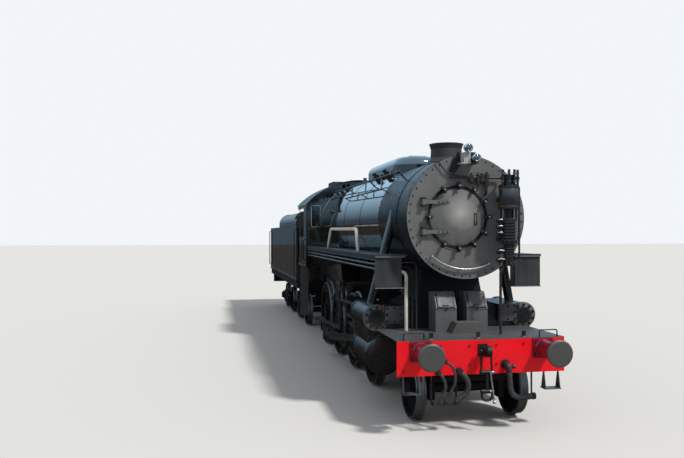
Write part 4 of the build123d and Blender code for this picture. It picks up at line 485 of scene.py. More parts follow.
# The smokebox and its front plate: riveted sheet, glossy black round the barrel and dull grey over the
# front. The chimney is dull, the steam pipes are glossy, and the front rail is polished steel.
centre_z = 2.872
smokebox_r = 0.877
barrel_paint = dict(paint=(0.006, 0.009, 0.014), grime=(0.018, 0.020, 0.024), cover=0.6, patch=2.4,
                    smooth=0.22, rough=0.45)
plate_paint = dict(paint=(0.125, 0.127, 0.130), grime=(0.062, 0.062, 0.063), cover=0.5, patch=2.6,
                   smooth=0.36, rough=0.6)
rail_paint = dict(paint=(0.011, 0.0115, 0.013), grime=(0.026, 0.024, 0.022), cover=0.7, patch=3.0,
                  smooth=0.22, rough=0.55)
polished_steel = dict(paint=(0.42, 0.42, 0.41), grime=(0.10, 0.10, 0.10), cover=0.5, patch=12.0,
                      smooth=0.2, rough=0.4)
rivet_batch, rivet_sides, rivet_rows = 24, 8, 5


def add_rivets(shape, places, radius):
    """Round rivet heads, half sunk in the plate at each place."""
    for first in range(0, len(places), rivet_batch):
        part = bmesh.new()
        for spot in places[first:first + rivet_batch]:
            bmesh.ops.create_uvsphere(part, u_segments=rivet_sides, v_segments=rivet_rows, radius=radius,
                                      matrix=Matrix.Translation(spot))
        join_to(shape, part)


front_sheet = [("Y", "LESS_THAN", behind(1.101))]
wear(two_coats("smokebox_coat", barrel_paint, plate_paint, front_sheet, shine=0.16), "smokebox")
wear(frame_black, "smokebox_fittings")
wear(painted("chimney_black", (0.030, 0.030, 0.032), (0.05, 0.047, 0.045), cover=0.6, patch=3.0,
             smooth=0.4, rough=0.65, wave=0.003), "chimney")
wear(painted("pipe_gloss", (0.008, 0.009, 0.012), (0.02, 0.02, 0.02), cover=0.5, patch=3.0, smooth=0.10,
             rough=0.3, wave=0.002, coat=0.8, shine=0.8), "steam_pipes")
front_rail = [("Y", "LESS_THAN", behind(1.075)), ("Z", "GREATER_THAN", 2.0)]
wear(two_coats("handrail_coat", rail_paint, polished_steel, front_rail, other_metal=0.6), "handrails")
saddle_top, chimney_place, chimney_foot_r, chimney_foot_z = 2.35, 1.7, 0.1, 3.6
rivets = bmesh.new()
add_rivets(rivets, ring_places(0, behind(1.099), centre_z, 0.838, count=44, start=4), radius=0.0125)
for distance in (1.135, 1.625, 1.775, 2.765):
    by_chimney = abs(distance - chimney_place) < chimney_foot_r
    ring = ring_places(0, behind(distance), centre_z, smokebox_r, count=56)
    add_rivets(rivets, [(x, y, z) for x, y, z in ring if not (z < saddle_top and abs(x) < saddle_half_width)
                        and not (by_chimney and z > chimney_foot_z)], radius=0.011)
finish_piece("smokebox_rivets", rivets, frame_black, "engine")

barrel_black = painted("barrel_black", (0.010, 0.012, 0.016), (0.024, 0.025, 0.027), cover=0.6, patch=2.4,
                       smooth=0.25, rough=0.5, wave=0.006)
front_edge = [(0.877, 0.0), (0.882, -0.004), (0.882, -0.022), (0.877, -0.026)]
rim = bmesh.new()
add_turned(rim, front_edge, (0, behind(1.1), centre_z), forward, steps=96)
finish_piece("smokebox_front_edge", rim, barrel_black, "engine")

# The door: a dished pressing on two strap hinges, drawn up by dogs whose bright nuts catch the light.
# A dark ring in the gap round it is painted shade, and its middle has a painted highlight, pale in
# patches.
door_x = -0.14
door_plate = Vector((door_x, behind(1.1), centre_z))
# A pale painted highlight over the door's middle, broken into patches by noise.
sheen_centre, sheen_colour = (-0.10, 0, 2.93), (0.30, 0.295, 0.28, 1)
sheen_scale, sheen_cloud, sheen_outside, sheen_inside, sheen_most = 9.0, 0.22, 0.38, 0.12, 0.9
door_grey = painted("door_coat", (0.112, 0.114, 0.116), (0.055, 0.055, 0.055), cover=0.5, patch=2.6,
                    smooth=0.36, rough=0.6, wave=0.003)
door_tree = door_grey.node_tree
door_reach, door_spot = reach(door_tree, sheen_centre, "XZ")
door_cloud = noise(door_tree, door_spot, sheen_scale, detail=6.0, rough=0.72)
door_reach = combined(door_tree, "ADD", door_reach, combined(door_tree, "MULTIPLY", door_cloud, sheen_cloud))
door_sheen = ranged(door_tree, door_reach, sheen_outside, sheen_inside, 0.0, sheen_most)
door_tree.links.new(mixed(door_tree, door_sheen, door_tree.nodes["weathering"].outputs["Color"], sheen_colour),
                    door_tree.nodes["Principled BSDF"].inputs["Base Color"])
wear(door_grey, "smokebox_door")
dog_steel = painted("dog_steel", (0.10, 0.10, 0.098), (0.03, 0.028, 0.026), cover=0.8, patch=14.0,
                    smooth=0.3, rough=0.55, wave=0.001, metal=0.4)
nut_steel = painted("nut_steel", (0.48, 0.48, 0.47), (0.12, 0.115, 0.11), cover=0.6, patch=14.0,
                    smooth=0.2, rough=0.45, wave=0.001, metal=0.6)
dog_count, dog_reach, dog_size, dog_bevel = 12, 0.441, (0.112, 0.024, 0.05), 0.006
dogs_left_out = (5, 7)
dogs, nuts = bmesh.new(), bmesh.new()
for i in range(dog_count):
    if i in dogs_left_out:
        continue
    angle = math.radians(i * 360 / dog_count)
    middle = door_plate + Vector((math.cos(angle), 0, math.sin(angle))) * dog_reach
    add_bolts(dogs, [middle + Vector((0, -0.092, 0))], forward, radius=0.024, height=0.026)
    add_bolts(nuts, [middle + Vector((0, -0.112, 0))], forward, radius=0.015, height=0.034, sides=8)
    dog_place = Matrix.Translation(middle + Vector((0, -0.074, 0))) @ Matrix.Rotation(-angle, 4, "Y")
    add_eased_block(dogs, dog_place @ Matrix.Diagonal((*dog_size, 1)), dog_bevel)
finish_piece("door_dogs", dogs, frame_black, "engine")
finish_piece("door_dog_nuts", nuts, nut_steel, "engine")
# A dark ring in the gap between the door and its seat: painted shade.
door_gap_shade = [(0.405, -0.006), (0.407, 0.002), (0.450, 0.003), (0.454, -0.002)]
gap_shade_ring = bmesh.new()
add_turned(gap_shade_ring, door_gap_shade, (door_x, behind(1.086), centre_z), forward, steps=72)
finish_piece("door_gap_shade", gap_shade_ring, dark_line, "engine")
strap_rise, strap_front = 0.21, behind(1.098) - 0.066
mark_place, mark_turn, mark_bevel = (0.118, behind(1.098) - 0.0505, 2.845), math.radians(11.3), 0.0015
mark_back, mark_front = -0.006, 0.002
door_bolts, mark = bmesh.new(), bmesh.new()
for z in (centre_z - strap_rise, centre_z + strap_rise):
    for x in (-0.43, -0.37, -0.31):
        add_bolts(door_bolts, [(x, strap_front, z)], forward, radius=0.010, height=0.012)
for x0, z0, x1, z1 in ((-0.026, -0.082, -0.013, 0.082), (0.013, -0.082, 0.026, 0.082),
                       (-0.026, 0.068, 0.026, 0.082), (-0.026, -0.082, 0.026, -0.068)):
    add_slab(mark, (x0, mark_back, z0), (x1, mark_front, z1), mark_bevel)
bmesh.ops.transform(mark, matrix=Matrix.Translation(mark_place) @ Matrix.Rotation(mark_turn, 4, "Z"),
                    verts=mark.verts)
finish_piece("door_slot_mark", mark, dark_line, "smokebox_door")
finish_piece("door_trim", door_bolts, frame_black, "smokebox_door")

# Two lamps on the smokebox top: spun steel shells with bright bezels and dark glossy lenses, painted
# shade for the unlit insides, on a black bracket that is bolted to the front plate.
lamp_paint = dict(paint=(0.34, 0.36, 0.38), grime=(0.10, 0.10, 0.10), cover=0.5, patch=12.0, smooth=0.3,
                  rough=0.6)
bracket_paint = dict(paint=(0.010, 0.011, 0.013), grime=(0.03, 0.028, 0.027), cover=0.6, patch=6.0,
                     smooth=0.3, rough=0.6)
bezel_steel = painted("bezel_steel", (0.75, 0.75, 0.74), (0.2, 0.19, 0.18), cover=0.35, patch=16.0,
                      smooth=0.14, rough=0.4, wave=0.0005, metal=1.0)
# Dark glossy lenses: painted shade for the unlit insides of the lamps behind the glass.
lens = painted("lens_glass", (0.05, 0.055, 0.06), (0.12, 0.12, 0.12), cover=0.4, patch=20.0, smooth=0.04,
               rough=0.15, wave=0.0005, coat=0.6, shine=0.8)
wear(two_coats("lamp_coat", lamp_paint, bracket_paint,
               [("X", "GREATER_THAN", -0.012), ("Z", "LESS_THAN", 3.79)]), "headlamps")
lamp_bezel = [(0.042, 0.0), (0.042, 0.006), (0.048, 0.012), (0.056, 0.010), (0.062, 0.002), (0.062, -0.016),
              (0.054, -0.018)]
lamp_lens = [(0.0, 0.012), (0.0175, 0.011), (0.035, 0.007), (0.043, 0.002), (0.043, 0.0005), (0, 0.0005)]
bezels, lenses = bmesh.new(), bmesh.new()
for x, distance, z in ((-0.058, 0.84, 3.834), (0.045, 0.80, 3.691)):
    add_turned(bezels, lamp_bezel, (x, behind(distance), z), forward, steps=32)
    add_turned(lenses, lamp_lens, (x, behind(distance), z), forward, steps=32)
finish_piece("lamp_bezels", bezels, bezel_steel, "engine")
finish_piece("lamp_lenses", lenses, lens, "engine")
bracket_front, bracket_depth = behind(1.035), 0.060
bracket = bmesh.new()
add_plate(bracket, [(x, bracket_front, z) for x, z in ((-0.112, 3.80), (-0.160, 3.79), (-0.262, 3.52),
                                                       (-0.215, 3.47), (-0.112, 3.60))], bracket_depth)
add_bolts(bracket, [(x, bracket_front, z) for x, z in ((-0.135, 3.77), (-0.135, 3.64), (-0.235, 3.52))],
          forward, radius=0.012, height=0.012)
finish_piece("lamp_bracket", bracket, frame_black, "engine")

# The boiler and the casing on it: thin sheet over the lagging, painted gloss black and polished. Pale
# bandage wraps the lagged pipes, and dull paint covers the thin pipework at the front.
gloss_black = painted("gloss_black", (0.004, 0.004, 0.005), (0.012, 0.011, 0.011), cover=0.4, patch=1.8,
                      smooth=0.05, rough=0.2, coat=1.0, shine=1.0)
cast_black = painted("cast_black", (0.008, 0.008, 0.009), (0.022, 0.020, 0.018), cover=0.7, patch=8.0,
                     smooth=0.20, rough=0.5, wave=0.002, shine=0.6)
wear(gloss_black, "boiler", "dome_casing")
wear(painted("pipe_black", (0.020, 0.017, 0.019), (0.055, 0.036, 0.036), cover=0.7, patch=9.0,
             smooth=0.28, rough=0.55, wave=0.001), "front_pipework")
wear(painted("lagging_pale", (0.56, 0.55, 0.50), (0.22, 0.20, 0.18), cover=0.5, patch=5.0, smooth=0.5,
             rough=0.8, wave=0.003), "lagged_pipes")

# Two feed valves on the boiler's left shoulder, beside the casing: black castings. Each has a flanged
# foot, two unions and two bolted ears.
feed_angle, feed_reach, feed_places = math.radians(121), 0.858, (3.74, 4.51)
feed_valve = [(0.070, 0.0), (0.070, 0.016), (0.042, 0.026), (0.040, 0.080), (0.062, 0.090), (0.066, 0.130),
              (0.045, 0.145), (0.032, 0.150), (0.032, 0.178), (0.050, 0.184), (0.050, 0.196), (0, 0.200)]
ear_rise, ear_ends = 0.11, (-0.085, 0.085)
union_rise, union_ends = 0.105, (-0.055, 0.055)
feeds = bmesh.new()
out = Vector((math.cos(feed_angle), 0, math.sin(feed_angle)))
for distance in feed_places:
    foot = Vector((0, behind(distance), centre_z)) + out * feed_reach
    add_turned(feeds, feed_valve, foot, out, steps=20)
    ears = [foot + out * ear_rise + Vector((0, end, 0)) for end in ear_ends]
    add_bolts(feeds, ears, out, radius=0.030, height=0.055)
    for end in union_ends:
        add_bolts(feeds, [foot + out * union_rise + Vector((0, end, 0))], (0, end, 0),
                  radius=0.024, height=0.06)
finish_piece("boiler_feed_valves", feeds, cast_black, "engine")

# The deck at the front: grey plate, walked on and scuffed, with a bare cover plate screwed on it before
# the saddle. The cab has a floor of the same plate.
deck_grey = painted("deck_grey", (0.058, 0.059, 0.062), (0.095, 0.093, 0.092), cover=0.7, patch=2.2,
                    smooth=0.4, rough=0.75)
worn_plate = painted("worn_plate", (0.125, 0.105, 0.088), (0.06, 0.052, 0.046), cover=0.6, patch=9.0,
                     smooth=0.45, rough=0.75, wave=0.001)
wear(deck_grey, "front_deck", "cab_floor")
cover_under, cover_top = 1.3835, 1.3875
cover = bmesh.new()
add_slab(cover, (-0.172, behind(1.014), cover_under), (0.202, behind(1.216), cover_top), bevel=0.001)
screws = [(x, behind(distance), cover_top) for x in (-0.15, 0.015, 0.18) for distance in (1.035, 1.195)]
add_bolts(cover, screws, up, radius=0.009, height=0.008)
finish_piece("deck_cover_top", cover, worn_plate, "engine")

# The buffer beam: one plate in bright red gloss, with bolts through it. The tender's back beam has a
# thin plate in the same red.
beam_red = painted("beam_red", (0.74, 0.006, 0.014), (0.34, 0.004, 0.010), cover=0.35, patch=3.0,
                   smooth=0.28, rough=0.5, wave=0.002, shine=0.2)
bolt_red = painted("beam_bolt_red", (0.34, 0.004, 0.010), (0.10, 0.004, 0.008), cover=0.6, patch=9.0,
                   smooth=0.25, rough=0.5, wave=0.001)
wear(beam_red, "front_beam")
beam_bolts = bmesh.new()
add_bolts(beam_bolts, [(x, behind(0.5), z) for x, z in (
    (-0.18, 1.146), (0.197, 1.143), (0.589, 1.156), (-0.189, 0.889), (0.197, 0.889), (-0.589, 1.156),
    (1.09, 0.83), (-1.09, 0.83))], forward, radius=0.017, height=0.018)
finish_piece("beam_bolts", beam_bolts, bolt_red, "engine")
plate_front, plate_back, plate_half_width = behind(18.0935), behind(18.0955), 1.182
plate = bmesh.new()
add_slab(plate, (-plate_half_width, plate_front, 0.856), (plate_half_width, plate_back, 1.346))
add_rivets(plate, [(x / 10, plate_back, z) for x in range(-11, 12) for z in (0.885, 1.318)], radius=0.009)
finish_piece("rear_beam_plate", plate, beam_red, "tender")

# The buffers: maroon castings riveted to the beams, with worn steel heads. The screw coupling between
# the front ones is black, and its turning bar is bright from handling.
casting_paint = dict(paint=(0.22, 0.008, 0.020), grime=(0.07, 0.005, 0.010), cover=0.6, patch=8.0,
                     smooth=0.22, rough=0.5)
head_steel = dict(paint=(0.088, 0.090, 0.084), grime=(0.052, 0.053, 0.050), cover=0.8, patch=16.0,
                  smooth=0.32, rough=0.6)
bar_steel = dict(paint=(0.62, 0.61, 0.59), grime=(0.20, 0.18, 0.16), cover=0.4, patch=9.0, smooth=0.25,
                 rough=0.5)
maroon = painted("maroon", (0.20, 0.008, 0.018), (0.06, 0.005, 0.010), cover=0.6, patch=8.0, smooth=0.22,
                 rough=0.5, wave=0.001, coat=0.1)
head_length, flange_face = 0.165, 0.48
wear(two_coats("front_coupling_coat", frame_paint, bar_steel,
               [("Y", "LESS_THAN", behind(0.324)), ("X", "GREATER_THAN", 0.035), ("Z", "LESS_THAN", 0.83)],
               other_metal=0.85), "front_coupling")
wear(two_coats("front_buffer_coat", casting_paint, head_steel, [("Y", "LESS_THAN", behind(head_length))],
               shine=0.4, other_metal=0.3), "front_buffers")
wear(two_coats("rear_buffer_coat", casting_paint, head_steel,
               [("Y", "GREATER_THAN", behind(overall_length - head_length))], shine=0.4, other_metal=0.3),
     "rear_buffers")
buffer_x, buffer_z = 0.8635, 1.083
flange_sides, flange_bottom, rivet_step = (-0.130, 0.130), 0.975, 0.037
foot_r, foot_ahead, foot_rivets, foot_start = 0.123, 0.055, 8, 22
for end, face, out, body in (("front", flange_face, forward, "engine"),
                             ("rear", overall_length - flange_face, backward, "tender")):
    castings = bmesh.new()
    for x in (-buffer_x, buffer_x):
        add_rivets(castings, [(x + u, behind(face), flange_bottom + i * rivet_step) for u in flange_sides
                              for i in range(7)], radius=0.009)
        add_bolts(castings, [(x + u, behind(face), z) for u in (-0.105, 0.105) for z in (0.99, 1.18)], out,
                  radius=0.019, height=0.022)
        foot_y = behind(face) + out[1] * foot_ahead
        add_rivets(castings, ring_places(x, foot_y, buffer_z, foot_r, foot_rivets, foot_start), radius=0.010)
    finish_piece(f"{end}_buffer_rivets", castings, maroon, body)

# The hoses hang in front of the beam: rubber on canvas, clamped on iron spigots at both ends. Their free
# ends are held on dummy couplings, so that they keep clear of the ground.
hose_rubber = painted("hose_rubber", (0.028, 0.027, 0.028), (0.075, 0.070, 0.068), cover=0.6, patch=12.0,
                      smooth=0.4, rough=0.7, wave=0.001)
wear(cast_black, "front_hoses")


def add_hose(name, route, radius):
    """A hose along a smooth line between its two clamps."""
    line = bpy.data.curves.new(name, "CURVE")
    line.dimensions = "3D"
    line.bevel_depth = radius
    line.bevel_resolution = 5
    line.resolution_u = 10
    line.use_fill_caps = True
    spline = line.splines.new("NURBS")
    spline.points.add(len(route) - 1)
    for point, (x, distance, z) in zip(spline.points, route):
        point.co = (x, behind(distance), z, 1)
    spline.order_u = 3
    spline.use_endpoint_u = True
    line.materials.append(hose_rubber)
    piece = bpy.data.objects.new(name, line)
    scene.collection.objects.link(piece)
    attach(piece, "engine")
    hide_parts("front_hoses")


vacuum_r, air_r, heating_r, outer_r = 0.037, 0.018, 0.035, 0.020
add_hose("vacuum_hose", [
    (0.330, 0.400, 0.800), (0.346, 0.400, 0.690), (0.350, 0.400, 0.575), (0.388, 0.400, 0.482),
    (0.480, 0.400, 0.446), (0.590, 0.400, 0.452), (0.655, 0.400, 0.464)], vacuum_r)
add_hose("air_hose_left", [
    (-0.536, 0.392, 0.951), (-0.490, 0.370, 0.925), (-0.440, 0.366, 0.850), (-0.425, 0.370, 0.750),
    (-0.440, 0.386, 0.640), (-0.490, 0.406, 0.540), (-0.540, 0.420, 0.474), (-0.545, 0.420, 0.430)],
    air_r)
add_hose("heating_hose", [
    (-0.335, 0.392, 0.812), (-0.292, 0.366, 0.762), (-0.248, 0.370, 0.680), (-0.246, 0.380, 0.590),
    (-0.296, 0.396, 0.510), (-0.372, 0.414, 0.462), (-0.395, 0.420, 0.430)], heating_r)
add_hose("air_hose_outer", [
    (-0.628, 0.392, 0.806), (-0.596, 0.376, 0.756), (-0.560, 0.380, 0.680), (-0.558, 0.392, 0.590),
    (-0.594, 0.406, 0.510), (-0.625, 0.418, 0.462), (-0.628, 0.420, 0.430)], outer_r)
band_height = 0.004
clamps = bmesh.new()
for x, distance, z, out, r in ((0.3315, 0.4, 0.790, (0.14, 0, -1), vacuum_r),
                               (0.650, 0.4, 0.4635, (-1, 0, -0.18), vacuum_r),
                               (-0.395, 0.42, 0.434, up, heating_r), (-0.545, 0.42, 0.434, up, air_r),
                               (-0.628, 0.42, 0.434, up, outer_r)):
    for first, rise, fall, last in ((0.0, 0.002, 0.020, 0.022), (0.030, 0.032, 0.044, 0.046)):
        band = [(r, first), (r + band_height, rise), (r + band_height, fall), (r, last)]
        add_turned(clamps, band, (x, behind(distance), z), out, steps=20)
finish_piece("hose_clamps", clamps, dog_steel, "engine")

# Two tool boxes before the saddle: folded grey plate. Each sloping lid has a dark rim and two strap
# hinges, and each box a hasp and knobs on its front and its top.
box_grey = painted("box_grey", (0.098, 0.102, 0.108), (0.050, 0.051, 0.053), cover=0.55, patch=3.5,
                   smooth=0.36, rough=0.65, wave=0.003)
wear(box_grey, "tool_boxes", "tool_box_lid_left", "tool_box_lid_right")
lid_y, lid_z, lid_slope = behind(1.295), 1.677, math.atan2(0.23, 0.13)
strip_under, strip_top, strip_bevel = 0.0145, 0.0205, 0.001
rim_strips = [(-0.136, -0.112, -0.112, 0.112), (0.120, -0.112, 0.127, 0.112),
              (-0.136, -0.127, 0.127, -0.104)]
strap_strips = [(-0.085, 0.045, -0.06, 0.125), (0.06, 0.045, 0.085, 0.125)]
strap_bolts = [(u, v, strip_top) for u in (-0.0725, 0.0725) for v in (0.062, 0.1)]
hasp_front, hasp_half_width, hasp_low, hasp_high = behind(1.225), 0.15, 1.540, 1.556
knob = [(0, 0.026), (0.012, 0.024), (0.015, 0.016), (0.009, 0.008), (0.009, 0.0)]
for side, box_x in (("left", -0.255), ("right", 0.215)):
    slope = Matrix.Translation((box_x, lid_y, lid_z)) @ Matrix.Rotation(lid_slope, 4, "X")
    for name, finish, strips in (("lid_rim", dark_line, rim_strips), ("lid_straps", box_grey, strap_strips)):
        strip = bmesh.new()
        for x0, y0, x1, y1 in strips:
            add_slab(strip, (x0, y0, strip_under), (x1, y1, strip_top), strip_bevel)
        if name == "lid_straps":
            add_bolts(strip, strap_bolts, up, radius=0.006, height=0.006)
        bmesh.ops.transform(strip, matrix=slope, verts=strip.verts)
        finish_piece(f"{name}_{side}", strip, finish, f"tool_box_lid_{side}")
    hasp, knobs = bmesh.new(), bmesh.new()
    add_slab(hasp, (box_x - hasp_half_width, hasp_front, hasp_low),
             (box_x + hasp_half_width, behind(1.231), hasp_high), bevel=0.001)
    add_bolts(hasp, [(box_x + u, hasp_front, 1.548) for u in (-0.13, -0.07, 0.07, 0.13)], forward,
              radius=0.006, height=0.005)
    add_bolts(knobs, [(box_x + u, behind(1.40), 1.792) for u in (-0.11, 0.0, 0.11)], up,
              radius=0.015, height=0.026)
    add_turned(knobs, knob, (box_x, behind(1.229), 1.556), forward, steps=16)
    finish_piece(f"tool_box_hasp_{side}", hasp, box_grey, "engine")
    finish_piece(f"tool_box_knobs_{side}", knobs, dark_line, "engine")

# The pump: a steam cylinder in a glossy jacket, with valves and four prongs over it and ribbed air
# cylinders under it. Thin pale rings on the ribs' edges are painted highlights; the cocks catch the light.
pump_x, pump_y = 0.535, behind(0.860)
jacket_black = painted("jacket_black", (0.013, 0.014, 0.016), (0.030, 0.029, 0.028), cover=0.5, patch=9.0,
                       smooth=0.25, rough=0.45, wave=0.002, shine=0.8)
cock_steel = painted("cock_steel", (0.10, 0.10, 0.10), (0.03, 0.028, 0.026), cover=0.7, patch=9.0,
                     smooth=0.25, rough=0.5, wave=0.001, metal=0.8)
wear(cast_black, "air_pump")
pump_studs = bmesh.new()
for z, r, count in ((3.308, 0.117, 12), (2.52, 0.105, 10), (2.22, 0.078, 8)):
    angles = [i * math.tau / count for i in range(count)]
    add_bolts(pump_studs, [(pump_x + r * math.cos(a), pump_y + r * math.sin(a), z) for a in angles], up,
              radius=0.010, height=0.022)
for u, v in ((-0.110, -0.055), (-0.040, -0.105), (0.040, -0.105), (0.110, -0.055)):
    add_bolts(pump_studs, [(pump_x + u, pump_y + v, z) for z in (3.36, 3.47)], up,
              radius=0.025, height=0.022)
finish_piece("pump_studs", pump_studs, dog_steel, "engine")
jacket_band = [(0.1345, 0.0), (0.1365, 0.001), (0.1365, 0.017), (0.1345, 0.018)]
bands_and_highlights = bmesh.new()
for z in (3.012, 3.262):
    add_turned(bands_and_highlights, jacket_band, (pump_x, pump_y, z), up, steps=40)
# Thin pale rings on the edges of the air cylinders' ribs: painted highlights.
for low, step, count, inner, outer, upper in ((2.54, 0.042, 8, 0.1175, 0.1195, 0.010),
                                              (2.32, 0.036, 4, 0.0955, 0.0975, 0.008)):
    for i in range(count):
        add_turned(bands_and_highlights, [(inner, 0.002), (outer, 0.004), (outer, upper), (inner, upper + 0.002)],
                   (pump_x, pump_y, low + i * step), up, steps=36)
finish_piece("pump_bands_and_rib_highlights", bands_and_highlights, dog_steel, "engine")
pump_jacket = [(0.1351, 0.0), (0.1356, 0.001), (0.1356, 0.227), (0.1351, 0.228)]
pump_cock = [(0, 0.0), (0.028, 0.002), (0.034, 0.012), (0.028, 0.022), (0.012, 0.026), (0, 0.027)]
cock_x = pump_x - 0.165
jacket, cocks = bmesh.new(), bmesh.new()
add_turned(jacket, pump_jacket, (pump_x, pump_y, 3.032), up, steps=48)
finish_piece("pump_jacket", jacket, jacket_black, "engine")
for z in (2.82, 2.73, 2.64, 2.39, 2.27):
    add_turned(cocks, pump_cock, (cock_x, behind(0.840), z), (-1, 0, 0), steps=12)
finish_piece("pump_cocks", cocks, cock_steel, "engine")

# Small pipes at the front: a copper drain by the left valve cover, a red tap under the left front plate,
# and a bent iron conduit that stands on the deck beside the pale pipe, held by two clips.
copper = painted("copper", (0.40, 0.17, 0.09), (0.12, 0.06, 0.04), cover=0.6, patch=20.0, smooth=0.3,
                 rough=0.6, wave=0.001, metal=0.7)
tap_red = painted("tap_red", (0.17, 0.014, 0.022), (0.05, 0.02, 0.02), cover=0.6, patch=30.0, smooth=0.4,
                  rough=0.7, wave=0.001)
drain_pipe = [(0, 0.0), (0.015, 0.0), (0.015, 0.016), (0.008, 0.018), (0.008, 0.092), (0.015, 0.094),
              (0.015, 0.110), (0, 0.110)]
tap_body = [(0, 0.0), (0.008, 0.0), (0.008, 0.022), (0.014, 0.027), (0.014, 0.043), (0.007, 0.048),
            (0.007, 0.064), (0, 0.066)]
tap_x = -0.862
drain, tap = bmesh.new(), bmesh.new()
add_turned(drain, drain_pipe, (-1.062, behind(1.700), 1.478), up, steps=16)
finish_piece("valve_drain_pipe", drain, copper, "engine")
add_turned(tap, tap_body, (tap_x, behind(1.412), 1.853), down, steps=16)
add_slab(tap, (tap_x - 0.035, behind(1.409), 1.810), (tap_x, behind(1.415), 1.826), bevel=0.002)
finish_piece("front_plate_tap", tap, tap_red, "engine")
conduit_r, conduit_sides, conduit_y = 0.012, 12, behind(1.425)
conduit_start_x, conduit_x, conduit_bend = -0.960, -0.702, 0.110
conduit_top, conduit_foot = 2.158, 1.231
clip_half_width, clip_height = 0.020, 0.014
conduit = bmesh.new()
bend_x, bend_z = conduit_x - conduit_bend, conduit_top - conduit_bend
bmesh.ops.create_circle(conduit, segments=conduit_sides, radius=conduit_r,
                        matrix=Matrix.Translation((conduit_start_x, conduit_y, conduit_top))
                        @ Matrix.Rotation(math.pi / 2, 4, "Y"))
ring = [*conduit.verts, *conduit.edges]
for shift, angle, steps in (((bend_x - conduit_start_x, 0, 0), 0, 1), ((0, 0, 0), math.pi / 2, 9),
                            ((0, 0, conduit_foot - bend_z), 0, 1)):
    ring = bmesh.ops.spin(conduit, geom=ring, cent=(bend_x, conduit_y, bend_z), axis=(0, 1, 0), dvec=shift,
                          angle=angle, steps=steps, use_duplicate=False)["geom_last"]
bmesh.ops.holes_fill(conduit, edges=conduit.edges)
for z in (1.60, 1.95):
    add_slab(conduit, (conduit_x - clip_half_width, conduit_y - 0.018, z),
             (conduit_x + clip_half_width, conduit_y + 0.018, z + clip_height), bevel=0.002)
finish_piece("front_conduit", conduit, frame_black, "engine")

# The running boards: riveted plate, with a valance and cooling pipes along the sides. A plate hangs at
# each front end, with pale strips along its lips that are painted highlights, and the right one has a stay.
board_paint = painted("board_paint", (0.026, 0.029, 0.033), (0.052, 0.055, 0.056), cover=0.6, patch=3.0,
                      smooth=0.3, rough=0.6)
edge_highlight_grey = painted("edge_highlight_grey", (0.16, 0.165, 0.17), (0.06, 0.06, 0.06), cover=0.6, patch=12.0,
                    smooth=0.3, rough=0.55, wave=0.001)
wear(board_paint, "running_boards")
wear(satin_black, "cooling_pipes")
valance_x, valance_start, valance_pitch, valance_z = 1.270, 1.47, 0.29, 2.305
plate_inner_x, plate_outer_x, edge_height = 0.827, 1.268, 0.013
plate_rivets_x, plate_pitch = 0.885, 0.092
board_bolts, edges = bmesh.new(), bmesh.new()
for sign in (-1, 1):
    add_rivets(board_bolts, [(sign * valance_x, behind(valance_start + i * valance_pitch), valance_z)
                             for i in range(24)], radius=0.008)
    add_rivets(board_bolts, [(sign * (plate_rivets_x + i * plate_pitch), behind(1.39), z)
                             for i in range(5) for z in (1.895, 2.275)], radius=0.007)
    low, high = sorted((sign * plate_inner_x, sign * plate_outer_x))
    # Pale strips along the front plates' lips: painted highlights.
    for z in (1.8505, 2.2965):
        add_slab(edges, (low, behind(1.3585), z), (high, behind(1.3605), z + edge_height), bevel=0.0005)
finish_piece("board_bolts", board_bolts, deck_grey, "engine")
finish_piece("front_plate_edge_highlights", edges, edge_highlight_grey, "engine")
stay = bmesh.new()
add_slab(stay, (0.800, behind(1.402), 1.864), (0.876, behind(1.410), 2.297), bevel=0.001)
add_bolts(stay, [(0.852, behind(1.402), 1.93 + i * 0.10) for i in range(4)], forward,
          radius=0.010, height=0.010)
finish_piece("front_plate_stay", stay, frame_black, "engine")

# The cab: gloss black plate with rows of rivets under a dull grey roof, with black fittings inside. Its
# windows are clear glass in pale metal frames.
roof_grey = painted("roof_grey", (0.024, 0.027, 0.030), (0.04, 0.04, 0.04), cover=0.6, patch=3.0,
                    smooth=0.3, rough=0.6)
window_frame = painted("window_frame", (0.20, 0.22, 0.22), (0.08, 0.08, 0.08), cover=0.5, patch=10.0,
                       smooth=0.3, rough=0.5, wave=0.001)
clear_glass = bpy.data.materials.new("window_glass")
clear_glass.use_nodes = True
pane = clear_glass.node_tree.nodes["Principled BSDF"]
for label, value in (("Base Color", (0.16, 0.20, 0.23, 1)), ("Transmission Weight", 1.0),
                     ("Roughness", 0.03)):
    pane.inputs[label].default_value = value
wear(gloss_black, "cab_shell")
wear(roof_grey, "cab_roof")
wear(cast_black, "cab_fittings")
wear(clear_glass, "cab_windows")
window_low, window_high, frame_width, frame_lap = 2.794, 3.321, 0.016, 0.002
window_inner_x, window_outer_x, window_back, window_front = 0.952, 1.156, behind(8.436), behind(8.428)
side_x, corner_x, cab_front, side_start = 1.290, 1.262, behind(8.450), 8.475
side_pitch, front_pitch, post_rivets, post_places = 0.06, 0.062, 24, (8.83, 9.61)
frames, cab_rivets = bmesh.new(), bmesh.new()
